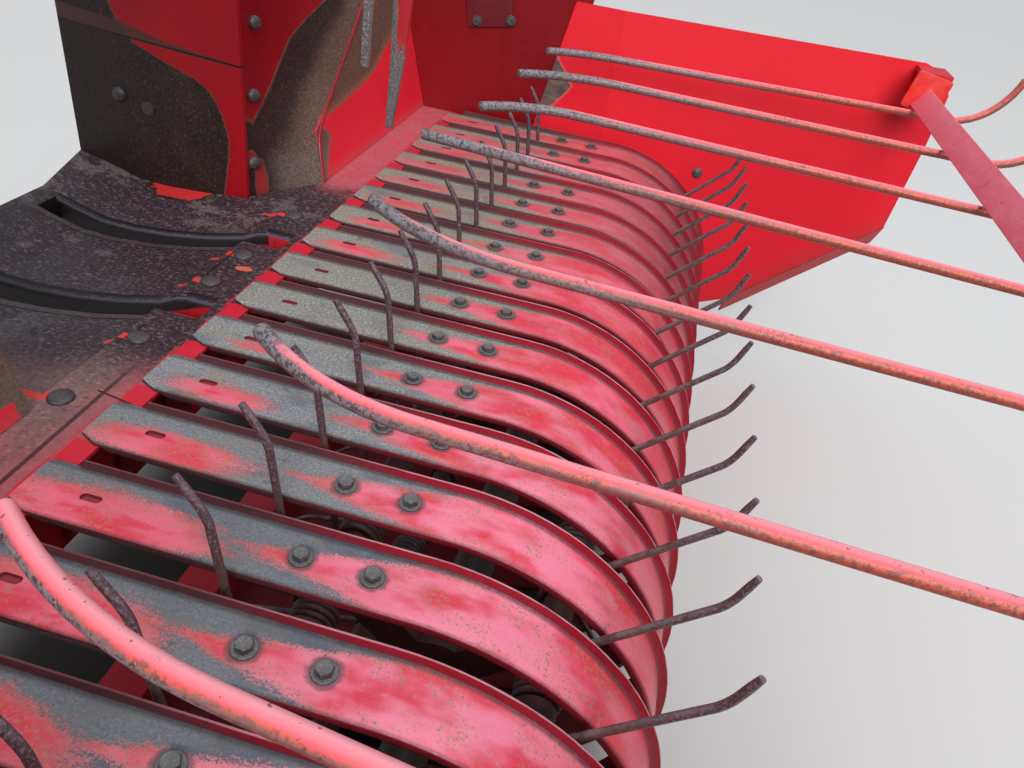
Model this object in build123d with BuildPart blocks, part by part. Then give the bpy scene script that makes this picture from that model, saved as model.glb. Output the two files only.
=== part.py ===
from build123d import *
from math import atan2, cos, degrees, hypot, radians, sin, sqrt, tan
import os

os.makedirs("parts", exist_ok=True)

# Baler pickup unit, in mm. +X is forward, +Y to the left along the reel, +Z up.
# The origin is the middle of the rear mounting holes, on the flanges' back face.
# x and z below are taken from the band tops' middle bolt, then moved by OX and OZ.
OX = 326.0
OZ = 105.0

# stripper bands
BAND_PITCH = 75.0
BAND_COUNT = 19
BAND_WIDTH = 50.0
SHEET = 3.0
NOSE_X = 85.0
NOSE_Z = -190.0
NOSE_R = 190.0
BAND_TIP_X = -205.0
BAND_LOW_X = -225.0
LIP_UP = 8.0
LIP_DOWN = 13.0
LIP_START_X = -182.0
TIP_CORNER = 15.0
TIP_SIDE = 8.0
BAND_SLOT_X = -155.0
# reel
SHAFT_R = 20.0
SHAFT_END_Y = 770.0
BAR_CIRCLE_R = 127.0
BAR_R = 13.0
BAR_BORE_R = 10.0
BAR_END_Y = 692.0
RUN_GAP = 0.05
WIRE_R = 3.0
COIL_R = 19.0
COIL_IN_R = 13.3
TINE_REACH = 165.0
TINE_TIP = 30.0
TINE_BEND = 9.0
TINE_TIP_TURN = 20.0
# tine bars at rest: place round the reel and lean of the tines, in degrees from +X towards +Z
BAR_ANGLE = [45.0, 135.0, 225.0, 315.0]
TINE_ANGLE = [50.5, 103.0, 200.0, 312.0]
SPIDER_Y = [-675.0, -225.0, 225.0, 675.0]
SPIDER_THICK = 8.0
# sides and walls
SIDE_Y = 712.0
END_PLATE_THICK = 6.0
PLATE_R = 184.0
FLARE_X = 60.0
FLARE = 0.26
HEM_HIGH = (545.0, -85.0)
HEM_LOW = (300.0, -266.0)
HEM_WIDE = 58.0
HEM_BEND = radians(42.0)
WALL_X = -256.0
WALL_LEAN = 0.26
WALL_TOP = 330.0
THROAT_LOW_Y = -212.0
THROAT_HIGH_Y = 214.0
THROAT_BACK_X = -543.0
# floor and beams
STRIP_FRONT_X = -186.0
STRIP_BACK_X = -262.0
BEAM_FRONT_X = -246.0
BEAM_SIDE = 70.0
BEAM_TOP_Z = -70.0
MOUNT_Z = -105.0
HOLE_SPAN_Y = 600.0
HOLE_SPAN_Z = 110.0
HOLE_R = 9.0
# wind guard
GUARD_PIVOT_X = 552.0
GUARD_PIVOT_Z = 168.0
GUARD_PIN_R = 8.0
GUARD_GAP = 70.0
ROD_R = 5.5
# feeder
FEEDER_X = -425.0
FEEDER_Z = 312.0
FEEDER_R = 15.0


def side(y):
    # a sketch plane across the reel: local x forward, local y up, normal towards -Y
    return Plane(origin=(OX, y, OZ), x_dir=(1, 0, 0), z_dir=(0, -1, 0))


def deck(z):
    return Plane(origin=(OX, 0, OZ + z), x_dir=(1, 0, 0), z_dir=(0, 0, 1))


def polar(radius, angle, x=0.0, z=0.0):
    return (x + radius * cos(radians(angle)), z + radius * sin(radians(angle)))


def save(part, node):
    part.label = node
    export_step(part, "parts/" + node + ".step")


def strip(outer, inner, start_out, start_in, end_x):
    # closed band outline between two distances from the nose centre
    low_out = NOSE_Z - outer
    low_in = NOSE_Z - inner
    top_out = NOSE_Z + outer
    top_in = NOSE_Z + inner
    Line((start_out, top_out), (NOSE_X, top_out))
    ThreePointArc((NOSE_X, top_out), (NOSE_X + outer, NOSE_Z), (NOSE_X, low_out))
    Line((NOSE_X, low_out), (end_x, low_out))
    Line((end_x, low_out), (end_x, low_in))
    Line((end_x, low_in), (NOSE_X, low_in))
    ThreePointArc((NOSE_X, low_in), (NOSE_X + inner, NOSE_Z), (NOSE_X, top_in))
    Line((NOSE_X, top_in), (start_in, top_in))
    Line((start_in, top_in), (start_out, top_out))


# bands: face, far lip turned out, near lip turned in
for i in range(BAND_COUNT):
    y = (i - (BAND_COUNT - 1) / 2) * BAND_PITCH
    high = y + BAND_WIDTH / 2
    low = y - BAND_WIDTH / 2
    with BuildPart() as band:
        with BuildSketch(side(high)):
            with BuildLine():
                strip(NOSE_R, NOSE_R - SHEET, BAND_TIP_X, BAND_TIP_X, BAND_LOW_X)
            make_face()
        extrude(amount=BAND_WIDTH)
        with BuildSketch(side(high)):
            with BuildLine():
                strip(NOSE_R + LIP_UP, NOSE_R - SHEET, LIP_START_X + 6, LIP_START_X, BAND_LOW_X + 20)
            make_face()
        extrude(amount=SHEET)
        with BuildSketch(side(low + SHEET)):
            with BuildLine():
                strip(NOSE_R, NOSE_R - LIP_DOWN, LIP_START_X - 2, LIP_START_X + 4, BAND_LOW_X + 45)
            make_face()
        extrude(amount=SHEET)
        with BuildSketch(deck(-10)):
            with Locations((BAND_TIP_X, low)):
                Polygon((-1, -1), (TIP_CORNER, -1), (TIP_CORNER, 0), (0, TIP_SIDE), (-1, TIP_SIDE),
                        align=None)
            with Locations((BAND_TIP_X, high)):
                Polygon((-1, 1), (4, 1), (4, 0), (0, -4), (-1, -4), align=None)
            with Locations((BAND_SLOT_X, y)):
                SlotOverall(18, 8)
        extrude(amount=20, mode=Mode.SUBTRACT)
    save(band.part, "band_%02d" % (i + 1))

# arms under the bands, on the front of the rear beam
with BuildPart() as arms:
    for i in range(BAND_COUNT):
        y = (i - (BAND_COUNT - 1) / 2) * BAND_PITCH
        with BuildSketch(side(y + 18)):
            Polygon((78, -6), (78, -11), (-240, -11), (-240, -130), (BEAM_FRONT_X, -130),
                    (BEAM_FRONT_X, -6), align=None)
            with Locations((25, -4.5)):
                Rectangle(80, 3)
        extrude(amount=36)
save(arms.part, "band_arms")

# floor strip that the band tips rest on, with the front ends of the finger slots
SLOTS_Y = [119.0, -46.0]
SLOT_WIDE = 32.0
SLOT_FRONT_X = -217.0
with BuildPart() as floor_strip:
    with BuildSketch(deck(-2 * SHEET)):
        with Locations(((STRIP_FRONT_X + STRIP_BACK_X) / 2, 0)):
            Rectangle(STRIP_FRONT_X - STRIP_BACK_X, 2 * (SIDE_Y + SHEET))
        for y in SLOTS_Y:
            with Locations((SLOT_FRONT_X - 100, y)):
                RectangleRounded(200, SLOT_WIDE, 6, mode=Mode.SUBTRACT)
    extrude(amount=SHEET)
save(floor_strip.part, "floor_strip")

# rear beam with mounting flanges
with BuildPart() as beam:
    mid_x = BEAM_FRONT_X - BEAM_SIDE / 2
    mid_z = BEAM_TOP_Z - BEAM_SIDE / 2
    with BuildSketch(side(SIDE_Y - END_PLATE_THICK)):
        with Locations((mid_x, mid_z)):
            Rectangle(BEAM_SIDE, BEAM_SIDE)
            Rectangle(BEAM_SIDE - 8, BEAM_SIDE - 8, mode=Mode.SUBTRACT)
    extrude(amount=2 * (SIDE_Y - END_PLATE_THICK))
save(beam.part, "rear_beam")

with BuildPart() as flanges:
    with BuildSketch(Plane(origin=(0, 0, 0), x_dir=(0, 1, 0), z_dir=(1, 0, 0))):
        with GridLocations(HOLE_SPAN_Y, 1, 2, 1):
            RectangleRounded(100, HOLE_SPAN_Z + 40, 12)
        with GridLocations(HOLE_SPAN_Y, HOLE_SPAN_Z, 2, 2):
            Circle(HOLE_R, mode=Mode.SUBTRACT)
    extrude(amount=10)
save(flanges.part, "mount_flanges")

# bottom rail inside the lower band ends
with BuildPart() as rail:
    with BuildSketch(side(SIDE_Y - END_PLATE_THICK)):
        with Locations((-230, NOSE_Z - NOSE_R + SHEET + 15)):
            Rectangle(48, 30)
            Rectangle(42, 24, mode=Mode.SUBTRACT)
    extrude(amount=2 * (SIDE_Y - END_PLATE_THICK))
save(rail.part, "bottom_rail")

# end plates with bearing hubs
for node, hand in (("end_plate_left", 1), ("end_plate_right", -1)):
    inner = hand * (SIDE_Y - END_PLATE_THICK)
    with BuildPart() as plate:
        with BuildSketch(side(max(inner, hand * SIDE_Y))):
            with BuildLine():
                Line((NOSE_X, NOSE_Z + PLATE_R), (-300, NOSE_Z + PLATE_R))
                Line((-300, NOSE_Z + PLATE_R), (-320, -30))
                Line((-320, -30), (-320, -175))
                Line((-320, -175), (-250, NOSE_Z - PLATE_R))
                Line((-250, NOSE_Z - PLATE_R), (NOSE_X, NOSE_Z - PLATE_R))
                ThreePointArc((NOSE_X, NOSE_Z - PLATE_R), (NOSE_X + PLATE_R, NOSE_Z),
                              (NOSE_X, NOSE_Z + PLATE_R))
            make_face()
            with Locations((NOSE_X, NOSE_Z)):
                Circle(SHAFT_R + RUN_GAP, mode=Mode.SUBTRACT)
        extrude(amount=END_PLATE_THICK)
        with BuildSketch(side(inner if hand > 0 else inner + 10)):
            with Locations((NOSE_X, NOSE_Z)):
                Circle(36)
                Circle(SHAFT_R + RUN_GAP, mode=Mode.SUBTRACT)
        extrude(amount=10)
    save(plate.part, node)

# flared side sheets, with a lower edge turned outwards
for node, hand in (("side_sheet_left", 1), ("side_sheet_right", -1)):
    near = side(hand * SIDE_Y + (SHEET if hand > 0 else 0))
    turn = atan2(FLARE, 1.0)
    flare_x = (cos(turn), hand * sin(turn), 0)
    flare_n = (hand * sin(turn), -cos(turn), 0)
    start = (OX + FLARE_X, hand * SIDE_Y, OZ)
    with BuildPart() as sheet:
        with BuildSketch(near):
            Polygon((-52, 43), (-60, -6), (-180, -6), (-150, -345), (FLARE_X, -345),
                    (FLARE_X, 206), (-19, 206), align=None)
            with Locations((NOSE_X, NOSE_Z)):
                Circle(SHAFT_R + 6, mode=Mode.SUBTRACT)
        extrude(amount=SHEET)
        plane = Plane(origin=start, x_dir=flare_x, z_dir=flare_n)
        with BuildSketch(plane):
            Polygon((0, 206), (500, 195), (540, 182), (558, 150), (556, 60), HEM_HIGH,
                    HEM_LOW, (235, -285), (0, -310), align=None)
            with Locations(((NOSE_X - FLARE_X) / cos(turn), NOSE_Z)):
                Circle(SHAFT_R + 8, mode=Mode.SUBTRACT)
            with Locations(((GUARD_PIVOT_X - FLARE_X) / cos(turn), GUARD_PIVOT_Z)):
                Circle(GUARD_PIN_R + 4, mode=Mode.SUBTRACT)
        extrude(amount=-SHEET if hand > 0 else SHEET)
        # strip along the lower front edge, bent outwards
        edge = Vector(*flare_x) * (HEM_LOW[0] - HEM_HIGH[0]) + Vector(0, 0, HEM_LOW[1] - HEM_HIGH[1])
        fold = edge.normalized()
        flat = fold.cross(Vector(*flare_n)) * hand
        down = flat if flat.Z < 0 else flat * -1
        bent = down * cos(HEM_BEND) - Vector(*flare_n) * hand * sin(HEM_BEND)
        corner = Vector(*start) + Vector(*flare_x) * HEM_HIGH[0] + Vector(0, 0, HEM_HIGH[1])
        with BuildSketch(Plane(origin=corner, x_dir=fold, z_dir=fold.cross(bent))):
            Polygon((0, 0), (edge.length, 0), (edge.length + 20, HEM_WIDE), (22, HEM_WIDE), align=None)
        extrude(amount=SHEET / 2, both=True)
    save(sheet.part, node)

# side walls outside the sheets' rear edges, with a low angle along the foot
for node, hand in (("side_wall_left", 1), ("side_wall_right", -1)):
    foot = hand * (SIDE_Y + SHEET)
    with BuildPart() as wall:
        with BuildSketch(side(foot if hand < 0 else foot + SHEET)):
            Polygon((WALL_X + 6 * WALL_LEAN, -6), (-20, -6), (12, 250),
                    (WALL_X - WALL_TOP * WALL_LEAN, WALL_TOP), align=None)
        extrude(amount=SHEET)
        with BuildSketch(side(foot if hand > 0 else foot + SHEET)):
            Polygon((-195, -3), (-64, -3), (-64, 17), (-189, 17), align=None)
        extrude(amount=SHEET)
    save(wall.part, node)

# slotted bracket plate on the left side wall
with BuildPart() as bracket:
    with BuildSketch(side(SIDE_Y + SHEET)):
        with Locations(Location((-152, 147), 10)):
            with Locations((0, 65)):
                RectangleRounded(76, 134, 5)
            with Locations((0, 95)):
                SlotOverall(90, 13, rotation=90, mode=Mode.SUBTRACT)
    extrude(amount=4)
save(bracket.part, "wall_bracket")

# back walls, funnel panels and throat plates lean back as they rise

def wall_panel(start, end, foot_z, top_z):
    # plane and outline of a leaning plate between two points of the floor plan
    run = Vector(end[0] - start[0], end[1] - start[1], 0)
    along = run.normalized()
    up = Vector(-WALL_LEAN, 0, 1)
    normal = along.cross(up).normalized()
    plane = Plane(origin=(OX + start[0], start[1], OZ), x_dir=along, z_dir=normal)
    shift = up.dot(along)
    rise = up.dot(normal.cross(along))
    corners = [(foot_z * shift, foot_z * rise), (run.length + foot_z * shift, foot_z * rise),
               (run.length + top_z * shift, top_z * rise), (top_z * shift, top_z * rise)]
    return plane, corners


# name, floor plan start and end, foot height, top height, which way the sheet is thick
WALLS = [
    ("back_wall_right", (WALL_X, -SIDE_Y - SHEET), (WALL_X, -232), -2.2, WALL_TOP, 1),
    ("funnel_right", (-264.5, -233), (-320, THROAT_LOW_Y - 6.3), -30, WALL_TOP, 1),
]
for node, start, end, foot_z, top_z, hand in WALLS:
    plane, corners = wall_panel(start, end, foot_z, top_z)
    with BuildPart() as wall:
        with BuildSketch(plane):
            Polygon(*corners, align=None)
        extrude(amount=-SHEET * hand)
    save(wall.part, node)

# left funnel: from an upright edge at the throat to a seam that runs out along the back wall
# height and place of the seam
SEAM = [(-2.2, 303), (61, 312), (182, 532), (282, SIDE_Y), (WALL_TOP, SIDE_Y)]
FUNNEL_FOOT_Z = -30.0
FUNNEL_START = (-320.0, THROAT_HIGH_Y + 6.3)
with BuildPart() as funnel:
    for z, seam_y in [(FUNNEL_FOOT_Z, SEAM[0][1])] + SEAM:
        seam_x = WALL_X - 8.5 if z < 0 else WALL_X - WALL_LEAN * z
        run = Vector(seam_x - FUNNEL_START[0], seam_y - FUNNEL_START[1], 0).normalized()
        back = Vector(-run.Y, run.X, 0) * SHEET
        with BuildSketch(deck(z)):
            Polygon(FUNNEL_START, (seam_x, seam_y), (seam_x + back.X, seam_y + back.Y),
                    (FUNNEL_START[0] + back.X, FUNNEL_START[1] + back.Y), align=None)
    loft(ruled=True)
save(funnel.part, "funnel_left")

# left back wall: what is left below the seam
plane, corners = wall_panel((WALL_X, SEAM[0][1]), (WALL_X, SIDE_Y + SHEET), SEAM[0][0], WALL_TOP)
rise = corners[2][1] / WALL_TOP
with BuildPart() as wall:
    with BuildSketch(plane):
        Polygon((4, SEAM[0][0] * rise), (SEAM[1][1] - SEAM[0][1] + 4, (SEAM[1][0] - 2) * rise),
                (SEAM[2][1] - SEAM[0][1] + 4, (SEAM[2][0] - 3) * rise),
                (SIDE_Y + SHEET - SEAM[0][1], (SEAM[3][0] - 4) * rise),
                (SIDE_Y + SHEET - SEAM[0][1], SEAM[0][0] * rise), align=None)
    extrude(amount=-SHEET)
save(wall.part, "back_wall_left")

# throat plates carry the feeder shaft
# front edge of each plate: upright on the left, leaning on the right
LEFT_EDGE = ((-350, 352), (-316, 330))
RIGHT_EDGE = ((-316 - WALL_LEAN * 359, 352), (-316, -7))
for node, y, edge in (("throat_plate_left", THROAT_HIGH_Y + 6, LEFT_EDGE),
                      ("throat_plate_right", THROAT_LOW_Y, RIGHT_EDGE)):
    with BuildPart() as throat:
        with BuildSketch(side(y)):
            Polygon((-316, -60), (THROAT_BACK_X, -60), (THROAT_BACK_X, 310), (-490, 352),
                    *edge, align=None)
            with Locations((FEEDER_X, FEEDER_Z)):
                Circle(FEEDER_R + RUN_GAP, mode=Mode.SUBTRACT)
        extrude(amount=6)
    save(throat.part, node)

# feed pan: falls away behind the floor strip and rises to the far wall, two finger slots
# x, height under the throat, height at the far wall
PAN = [(-262, -6, -4), (-275, -14, -5), (-325, -26, -6), (-375, -34, -11), (-425, -38, -14),
       (-465, -37, -12), (-500, -28, -2), (THROAT_BACK_X, -14, 8)]
PAN_THICK = 4.0
PAN_EDGE_Y = 141.0
deep = [(x, z) for x, z, far in PAN] + [(x, z - PAN_THICK) for x, z, far in reversed(PAN)]
shallow = [(x, far) for x, z, far in PAN] + [(x, far - PAN_THICK) for x, z, far in reversed(PAN)]
with BuildPart() as pan:
    with BuildSketch(side(PAN_EDGE_Y)):
        with BuildLine():
            Polyline(*deep, deep[0])
        make_face()
    extrude(amount=PAN_EDGE_Y - THROAT_LOW_Y)
    with BuildSketch(side(PAN_EDGE_Y)):
        with BuildLine():
            Polyline(*deep, deep[0])
        make_face()
    with BuildSketch(side(THROAT_HIGH_Y)):
        with BuildLine():
            Polyline(*shallow, shallow[0])
        make_face()
    loft(ruled=True)
    with BuildSketch(deck(-7)):
        Polygon((-262, THROAT_HIGH_Y - 1), (-262, 299), (-314, 221), (-314, THROAT_HIGH_Y - 1),
                align=None)
        Polygon((-262, THROAT_LOW_Y + 1), (-262, -229.5), (-314, -216.5), (-314, THROAT_LOW_Y + 1),
                align=None)
    extrude(amount=3)
    with BuildSketch(deck(-60)):
        for y in SLOTS_Y:
            with Locations(((-250 + THROAT_BACK_X + 20) / 2, y)):
                Rectangle(-250 - THROAT_BACK_X - 20, SLOT_WIDE)
    extrude(amount=70, mode=Mode.SUBTRACT)
save(pan.part, "feed_pan")

# wind guard: bar leaning forward, end tabs with pins, rods turned in at the throat
GUARD_SIDE_Y = SIDE_Y + FLARE * (GUARD_PIVOT_X - FLARE_X)
GUARD_HALF = GUARD_SIDE_Y - GUARD_GAP
TAB_THICK = 6.0
BAR_X = 526.0
BAR_Z = 142.5
BAR_WIDE = 34.0
BAR_THICK = 6.0
BAR_TURN = 55.0
with BuildPart() as guard:
    with BuildSketch(side(GUARD_HALF)):
        with Locations(Location((BAR_X, BAR_Z), BAR_TURN)):
            with Locations((BAR_WIDE / 2, -BAR_THICK / 2)):
                Rectangle(BAR_WIDE, BAR_THICK)
    extrude(amount=2 * GUARD_HALF)
    for hand in (1, -1):
        outer = GUARD_HALF + TAB_THICK
        with BuildSketch(side(outer if hand > 0 else -GUARD_HALF)):
            with Locations(Location((GUARD_PIVOT_X - 8, GUARD_PIVOT_Z - 6), -10)):
                RectangleRounded(56, 56, 4)
        extrude(amount=TAB_THICK)
        pin_end = GUARD_SIDE_Y + 8
        with BuildSketch(side(pin_end if hand > 0 else -outer)):
            with Locations((GUARD_PIVOT_X, GUARD_PIVOT_Z)):
                Circle(GUARD_PIN_R)
        extrude(amount=pin_end - outer)
save(guard.part, "guard_bar")

# one row for each rod: tip x, tip y, bend x, bend y, y at the bar
RODS = [(-36, 602, 60, 650, 752), (-43, 441, 90, 500, 538), (-47, 262, 65, 315, 323),
        (-72, 130, 75, 123, 108), (-54, -50, 85, -105, -108), (-40, -266, 75, -313, -323),
        (-68, -439, 60, -489, -538), (-36, -602, 60, -650, -752)]
ROD_SLOPE = -0.0288
ROD_BAR_X = BAR_X + 4.9
ROD_BAR_Z = BAR_Z - 3.7 - ROD_R
ROD_FRONT_X = 585.0
with BuildPart() as rods:
    for tip_x, tip_y, bend_x, bend_y, bar_y in RODS:
        tip = Vector(OX + tip_x, tip_y, OZ + ROD_BAR_Z + ROD_SLOPE * (tip_x - ROD_BAR_X))
        bend = Vector(OX + bend_x, bend_y, OZ + ROD_BAR_Z + ROD_SLOPE * (bend_x - ROD_BAR_X))
        at_bar = Vector(OX + ROD_BAR_X, bar_y, OZ + ROD_BAR_Z)
        ahead = (at_bar - bend).normalized()
        front = at_bar + ahead * (ROD_FRONT_X - ROD_BAR_X)
        nose = front + ahead * 95 + Vector(0, 0, 78)
        with BuildLine() as path:
            TangentArc(bend, tip, tangent=ahead * -1)
            Line(bend, front)
            TangentArc(front, nose, tangent=ahead)
        with BuildSketch(Plane(origin=front, z_dir=ahead)):
            Circle(ROD_R)
        sweep(path=path.line)
save(rods.part, "guard_rods")

# pivot brackets for the guard on the side sheets
BRACKET_INNER = GUARD_HALF + TAB_THICK + 2
for node, hand in (("guard_pivot_left", 1), ("guard_pivot_right", -1)):
    with BuildPart() as block:
        for foot, tall in ((-23, 8), (15, 8)):
            with BuildSketch(deck(GUARD_PIVOT_Z + foot)):
                Polygon((GUARD_PIVOT_X - 23, hand * BRACKET_INNER),
                        (GUARD_PIVOT_X + 23, hand * BRACKET_INNER),
                        (GUARD_PIVOT_X + 23, hand * (GUARD_SIDE_Y + FLARE * 23)),
                        (GUARD_PIVOT_X - 23, hand * (GUARD_SIDE_Y - FLARE * 23)), align=None)
            extrude(amount=tall)
        with BuildSketch(side(BRACKET_INNER + 8 if hand > 0 else -BRACKET_INNER)):
            with Locations((GUARD_PIVOT_X, GUARD_PIVOT_Z)):
                Rectangle(46, 46)
                Circle(GUARD_PIN_R + RUN_GAP, mode=Mode.SUBTRACT)
        extrude(amount=8)
    save(block.part, node)

# reel: shaft with sprocket, spiders
with BuildPart() as shaft:
    with BuildSketch(side(SHAFT_END_Y)):
        with Locations((NOSE_X, NOSE_Z)):
            Circle(SHAFT_R)
            Circle(SHAFT_R - 5, mode=Mode.SUBTRACT)
    extrude(amount=2 * SHAFT_END_Y)
save(shaft.part, "reel_shaft")

SPROCKET_TEETH = 18
SPROCKET_R = 62.0
HUB_Y = 37.0 - SHAFT_END_Y
with BuildPart() as sprocket:
    with BuildSketch(side(HUB_Y - 12)):
        with Locations((NOSE_X, NOSE_Z)):
            Circle(SPROCKET_R)
            with PolarLocations(SPROCKET_R - 1, SPROCKET_TEETH):
                Polygon((0, -6), (9, -2), (9, 2), (0, 6), align=None)
            Circle(SHAFT_R, mode=Mode.SUBTRACT)
    extrude(amount=7)
    with BuildSketch(side(HUB_Y)):
        with Locations((NOSE_X, NOSE_Z)):
            Circle(32)
            Circle(SHAFT_R, mode=Mode.SUBTRACT)
    extrude(amount=26)
save(sprocket.part, "reel_sprocket")

for i, y in enumerate(SPIDER_Y):
    with BuildPart() as spider:
        with BuildSketch(side(y + SPIDER_THICK / 2)):
            with Locations((NOSE_X, NOSE_Z)):
                Circle(44)
                for angle in BAR_ANGLE:
                    with Locations(Location((0, 0), angle)):
                        with Locations((BAR_CIRCLE_R / 2, 0)):
                            Rectangle(BAR_CIRCLE_R, 34)
                        with Locations((BAR_CIRCLE_R, 0)):
                            Circle(23)
                            Circle(BAR_R + RUN_GAP, mode=Mode.SUBTRACT)
                Circle(SHAFT_R, mode=Mode.SUBTRACT)
        extrude(amount=SPIDER_THICK)
    save(spider.part, "spider_%d" % (i + 1))

# tine bars with collars, and the double tines on each: coils, clamp and two prongs
for b in range(len(BAR_ANGLE)):
    bar_x, bar_z = polar(BAR_CIRCLE_R, BAR_ANGLE[b], NOSE_X, NOSE_Z)
    with BuildPart() as bar:
        with BuildSketch(side(BAR_END_Y)):
            with Locations((bar_x, bar_z)):
                Circle(BAR_R)
                Circle(BAR_BORE_R, mode=Mode.SUBTRACT)
        extrude(amount=2 * BAR_END_Y)
        for y in (SPIDER_Y[3] + 12.5, SPIDER_Y[0] - 4.5):
            with BuildSketch(side(y)):
                with Locations((bar_x, bar_z)):
                    Circle(19)
                    Circle(BAR_R - 1, mode=Mode.SUBTRACT)
            extrude(amount=8)
    save(bar.part, "tine_bar_%d" % (b + 1))
    lean = TINE_ANGLE[b]
    out = Vector(cos(radians(lean)), 0, sin(radians(lean)))
    lead = Vector(-sin(radians(lean)), 0, cos(radians(lean)))
    root = Vector(OX + bar_x, 0, OZ + bar_z)
    with BuildPart() as tines:
        for j in range(9):
            mid_y = -600.0 + 150.0 * j
            for hand in (1, -1):
                prong_y = mid_y + hand * BAND_PITCH / 2
                coil_high = prong_y + WIRE_R if hand > 0 else mid_y - 8
                with BuildSketch(side(coil_high)):
                    with Locations((bar_x, bar_z)):
                        Circle(COIL_R)
                        Circle(COIL_IN_R, mode=Mode.SUBTRACT)
                extrude(amount=BAND_PITCH / 2 + WIRE_R - 8)
                a = root + Vector(0, prong_y, 0) + lead * (COIL_R - WIRE_R + 0.5)
                c = root + Vector(0, prong_y, 0) + out * TINE_REACH
                tip_dir = out * cos(radians(TINE_TIP_TURN)) + lead * sin(radians(TINE_TIP_TURN))
                e = c + tip_dir * TINE_TIP
                with BuildLine() as prong:
                    Polyline(a, c - out * TINE_BEND, c + tip_dir * TINE_BEND, e)
                with BuildSketch(Plane(origin=a, z_dir=c - out * TINE_BEND - a)):
                    RegularPolygon(WIRE_R, 8)
                sweep(path=prong.line, transition=Transition.RIGHT)
            with BuildSketch(side(mid_y + 9)):
                with Locations((bar_x, bar_z)):
                    Circle(17)
                    Circle(BAR_R, mode=Mode.SUBTRACT)
            extrude(amount=18)
    save(tines.part, "tines_%d" % (b + 1))

# feeder: shaft between the throat plates, two hooked fingers
with BuildPart() as feeder_shaft:
    with BuildSketch(side(THROAT_HIGH_Y + 20)):
        with Locations((FEEDER_X, FEEDER_Z)):
            Circle(FEEDER_R)
    extrude(amount=THROAT_HIGH_Y - THROAT_LOW_Y + 40)
save(feeder_shaft.part, "feeder_shaft")
# lower side of each finger's arm and blade, from the shaft to the tip and back up
ARM = [(FEEDER_X + 5, FEEDER_Z - 25), (FEEDER_X - 23, FEEDER_Z - 15), (FEEDER_X - 25, FEEDER_Z + 18),
       (FEEDER_X, FEEDER_Z + 30), (-230, 432)]
BLADES = [
    [(-112, 400), (-84, 300), (-87, 273), (-91, 220), (-100, 154), (-106, 154), (-104, 218),
     (-104, 271), (-112, 300), (-145, 350), (-235, 385)],
    [(-98, 400), (-60, 336), (-61, 300), (-63, 252), (-68, 252), (-67, 299), (-74, 335),
     (-118, 366), (-235, 385)],
]
for i, y in enumerate(SLOTS_Y):
    with BuildPart() as finger:
        with BuildSketch(side(y + 4)):
            Polygon(*ARM, *BLADES[i], align=None)
            with Locations((FEEDER_X, FEEDER_Z)):
                Circle(30)
                Circle(FEEDER_R, mode=Mode.SUBTRACT)
        extrude(amount=8)
    save(finger.part, "feeder_finger_%d" % (i + 1))
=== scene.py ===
from functools import reduce
from math import cos, hypot, pi, radians, sin, sqrt
import bmesh
import bpy
from mathutils import Matrix, Vector


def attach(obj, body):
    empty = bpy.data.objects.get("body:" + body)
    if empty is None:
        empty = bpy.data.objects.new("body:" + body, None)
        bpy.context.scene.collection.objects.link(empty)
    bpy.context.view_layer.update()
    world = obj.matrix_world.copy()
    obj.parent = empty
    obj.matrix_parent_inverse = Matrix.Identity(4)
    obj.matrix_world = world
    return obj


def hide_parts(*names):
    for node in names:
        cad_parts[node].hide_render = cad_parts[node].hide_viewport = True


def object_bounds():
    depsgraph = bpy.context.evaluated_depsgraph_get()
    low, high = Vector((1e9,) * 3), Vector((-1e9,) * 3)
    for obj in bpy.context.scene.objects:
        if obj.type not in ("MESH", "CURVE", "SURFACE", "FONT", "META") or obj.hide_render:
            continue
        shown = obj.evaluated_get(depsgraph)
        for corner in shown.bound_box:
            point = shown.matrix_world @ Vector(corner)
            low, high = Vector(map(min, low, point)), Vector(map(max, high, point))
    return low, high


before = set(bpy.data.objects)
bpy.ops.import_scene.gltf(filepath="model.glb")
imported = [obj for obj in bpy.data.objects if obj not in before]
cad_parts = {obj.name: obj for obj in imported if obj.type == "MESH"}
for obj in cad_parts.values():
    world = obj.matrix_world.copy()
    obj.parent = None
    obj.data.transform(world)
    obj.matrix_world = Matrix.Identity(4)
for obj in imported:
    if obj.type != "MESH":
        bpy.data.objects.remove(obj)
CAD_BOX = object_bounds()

# sizes in mm, from the middle bolt of the band tops; x forward, y to the left, z up
OX, OZ = 0.326, 0.105  # that bolt's place in the row frame, in metres
PITCH = 75.0
BANDS = 19
NOSE_X, NOSE_Z, NOSE_R = 85.0, -190.0, 190.0
BAND_HALF, BAND_THICK, LIP_HIGH, FLANGE_DEEP = 25.0, 3.0, 8.0, 3.6
LOWER_LEG = 310.0
SLOT_X, SLOT_R, SLOT_HALF = -155, 3.4, 4.6
BOLT_GAP = 50.5
SIDE_Y = 712.0
FLOOR_BOLTS = ((-243, 191), (-244, 72), (-244, 6), (-245, -112), (-247, -211))

# the photograph's camera
FOCAL_PIXELS, WIDE_PIXELS, FILM_MM = 795.0, 1024.0, 36.0
CAMERA_RIGHT, CAMERA_DOWN, CAMERA_AHEAD = (
    Vector(v) for v in ((0.9637, 0.2292, 0.1371), (0.2423, -0.534, -0.81), (-0.1124, 0.8138, -0.5702)))


def at(x, y, z):
    """A point in mm as a place in the row frame, in metres."""
    return Vector((x / 1000 + OX, y / 1000, z / 1000 + OZ))


def rgb(code):
    """A colour written as a six-figure code, as Blender wants it."""
    return tuple(
        ((c / 255 + 0.055) / 1.055) ** 2.4 if c > 10.3 else c / 3294.6 for c in bytes.fromhex(code)) + (1.0,)


def linked(name, data):
    """A new object in the scene."""
    made = bpy.data.objects.new(name, data)
    scene.collection.objects.link(made)
    return made


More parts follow.
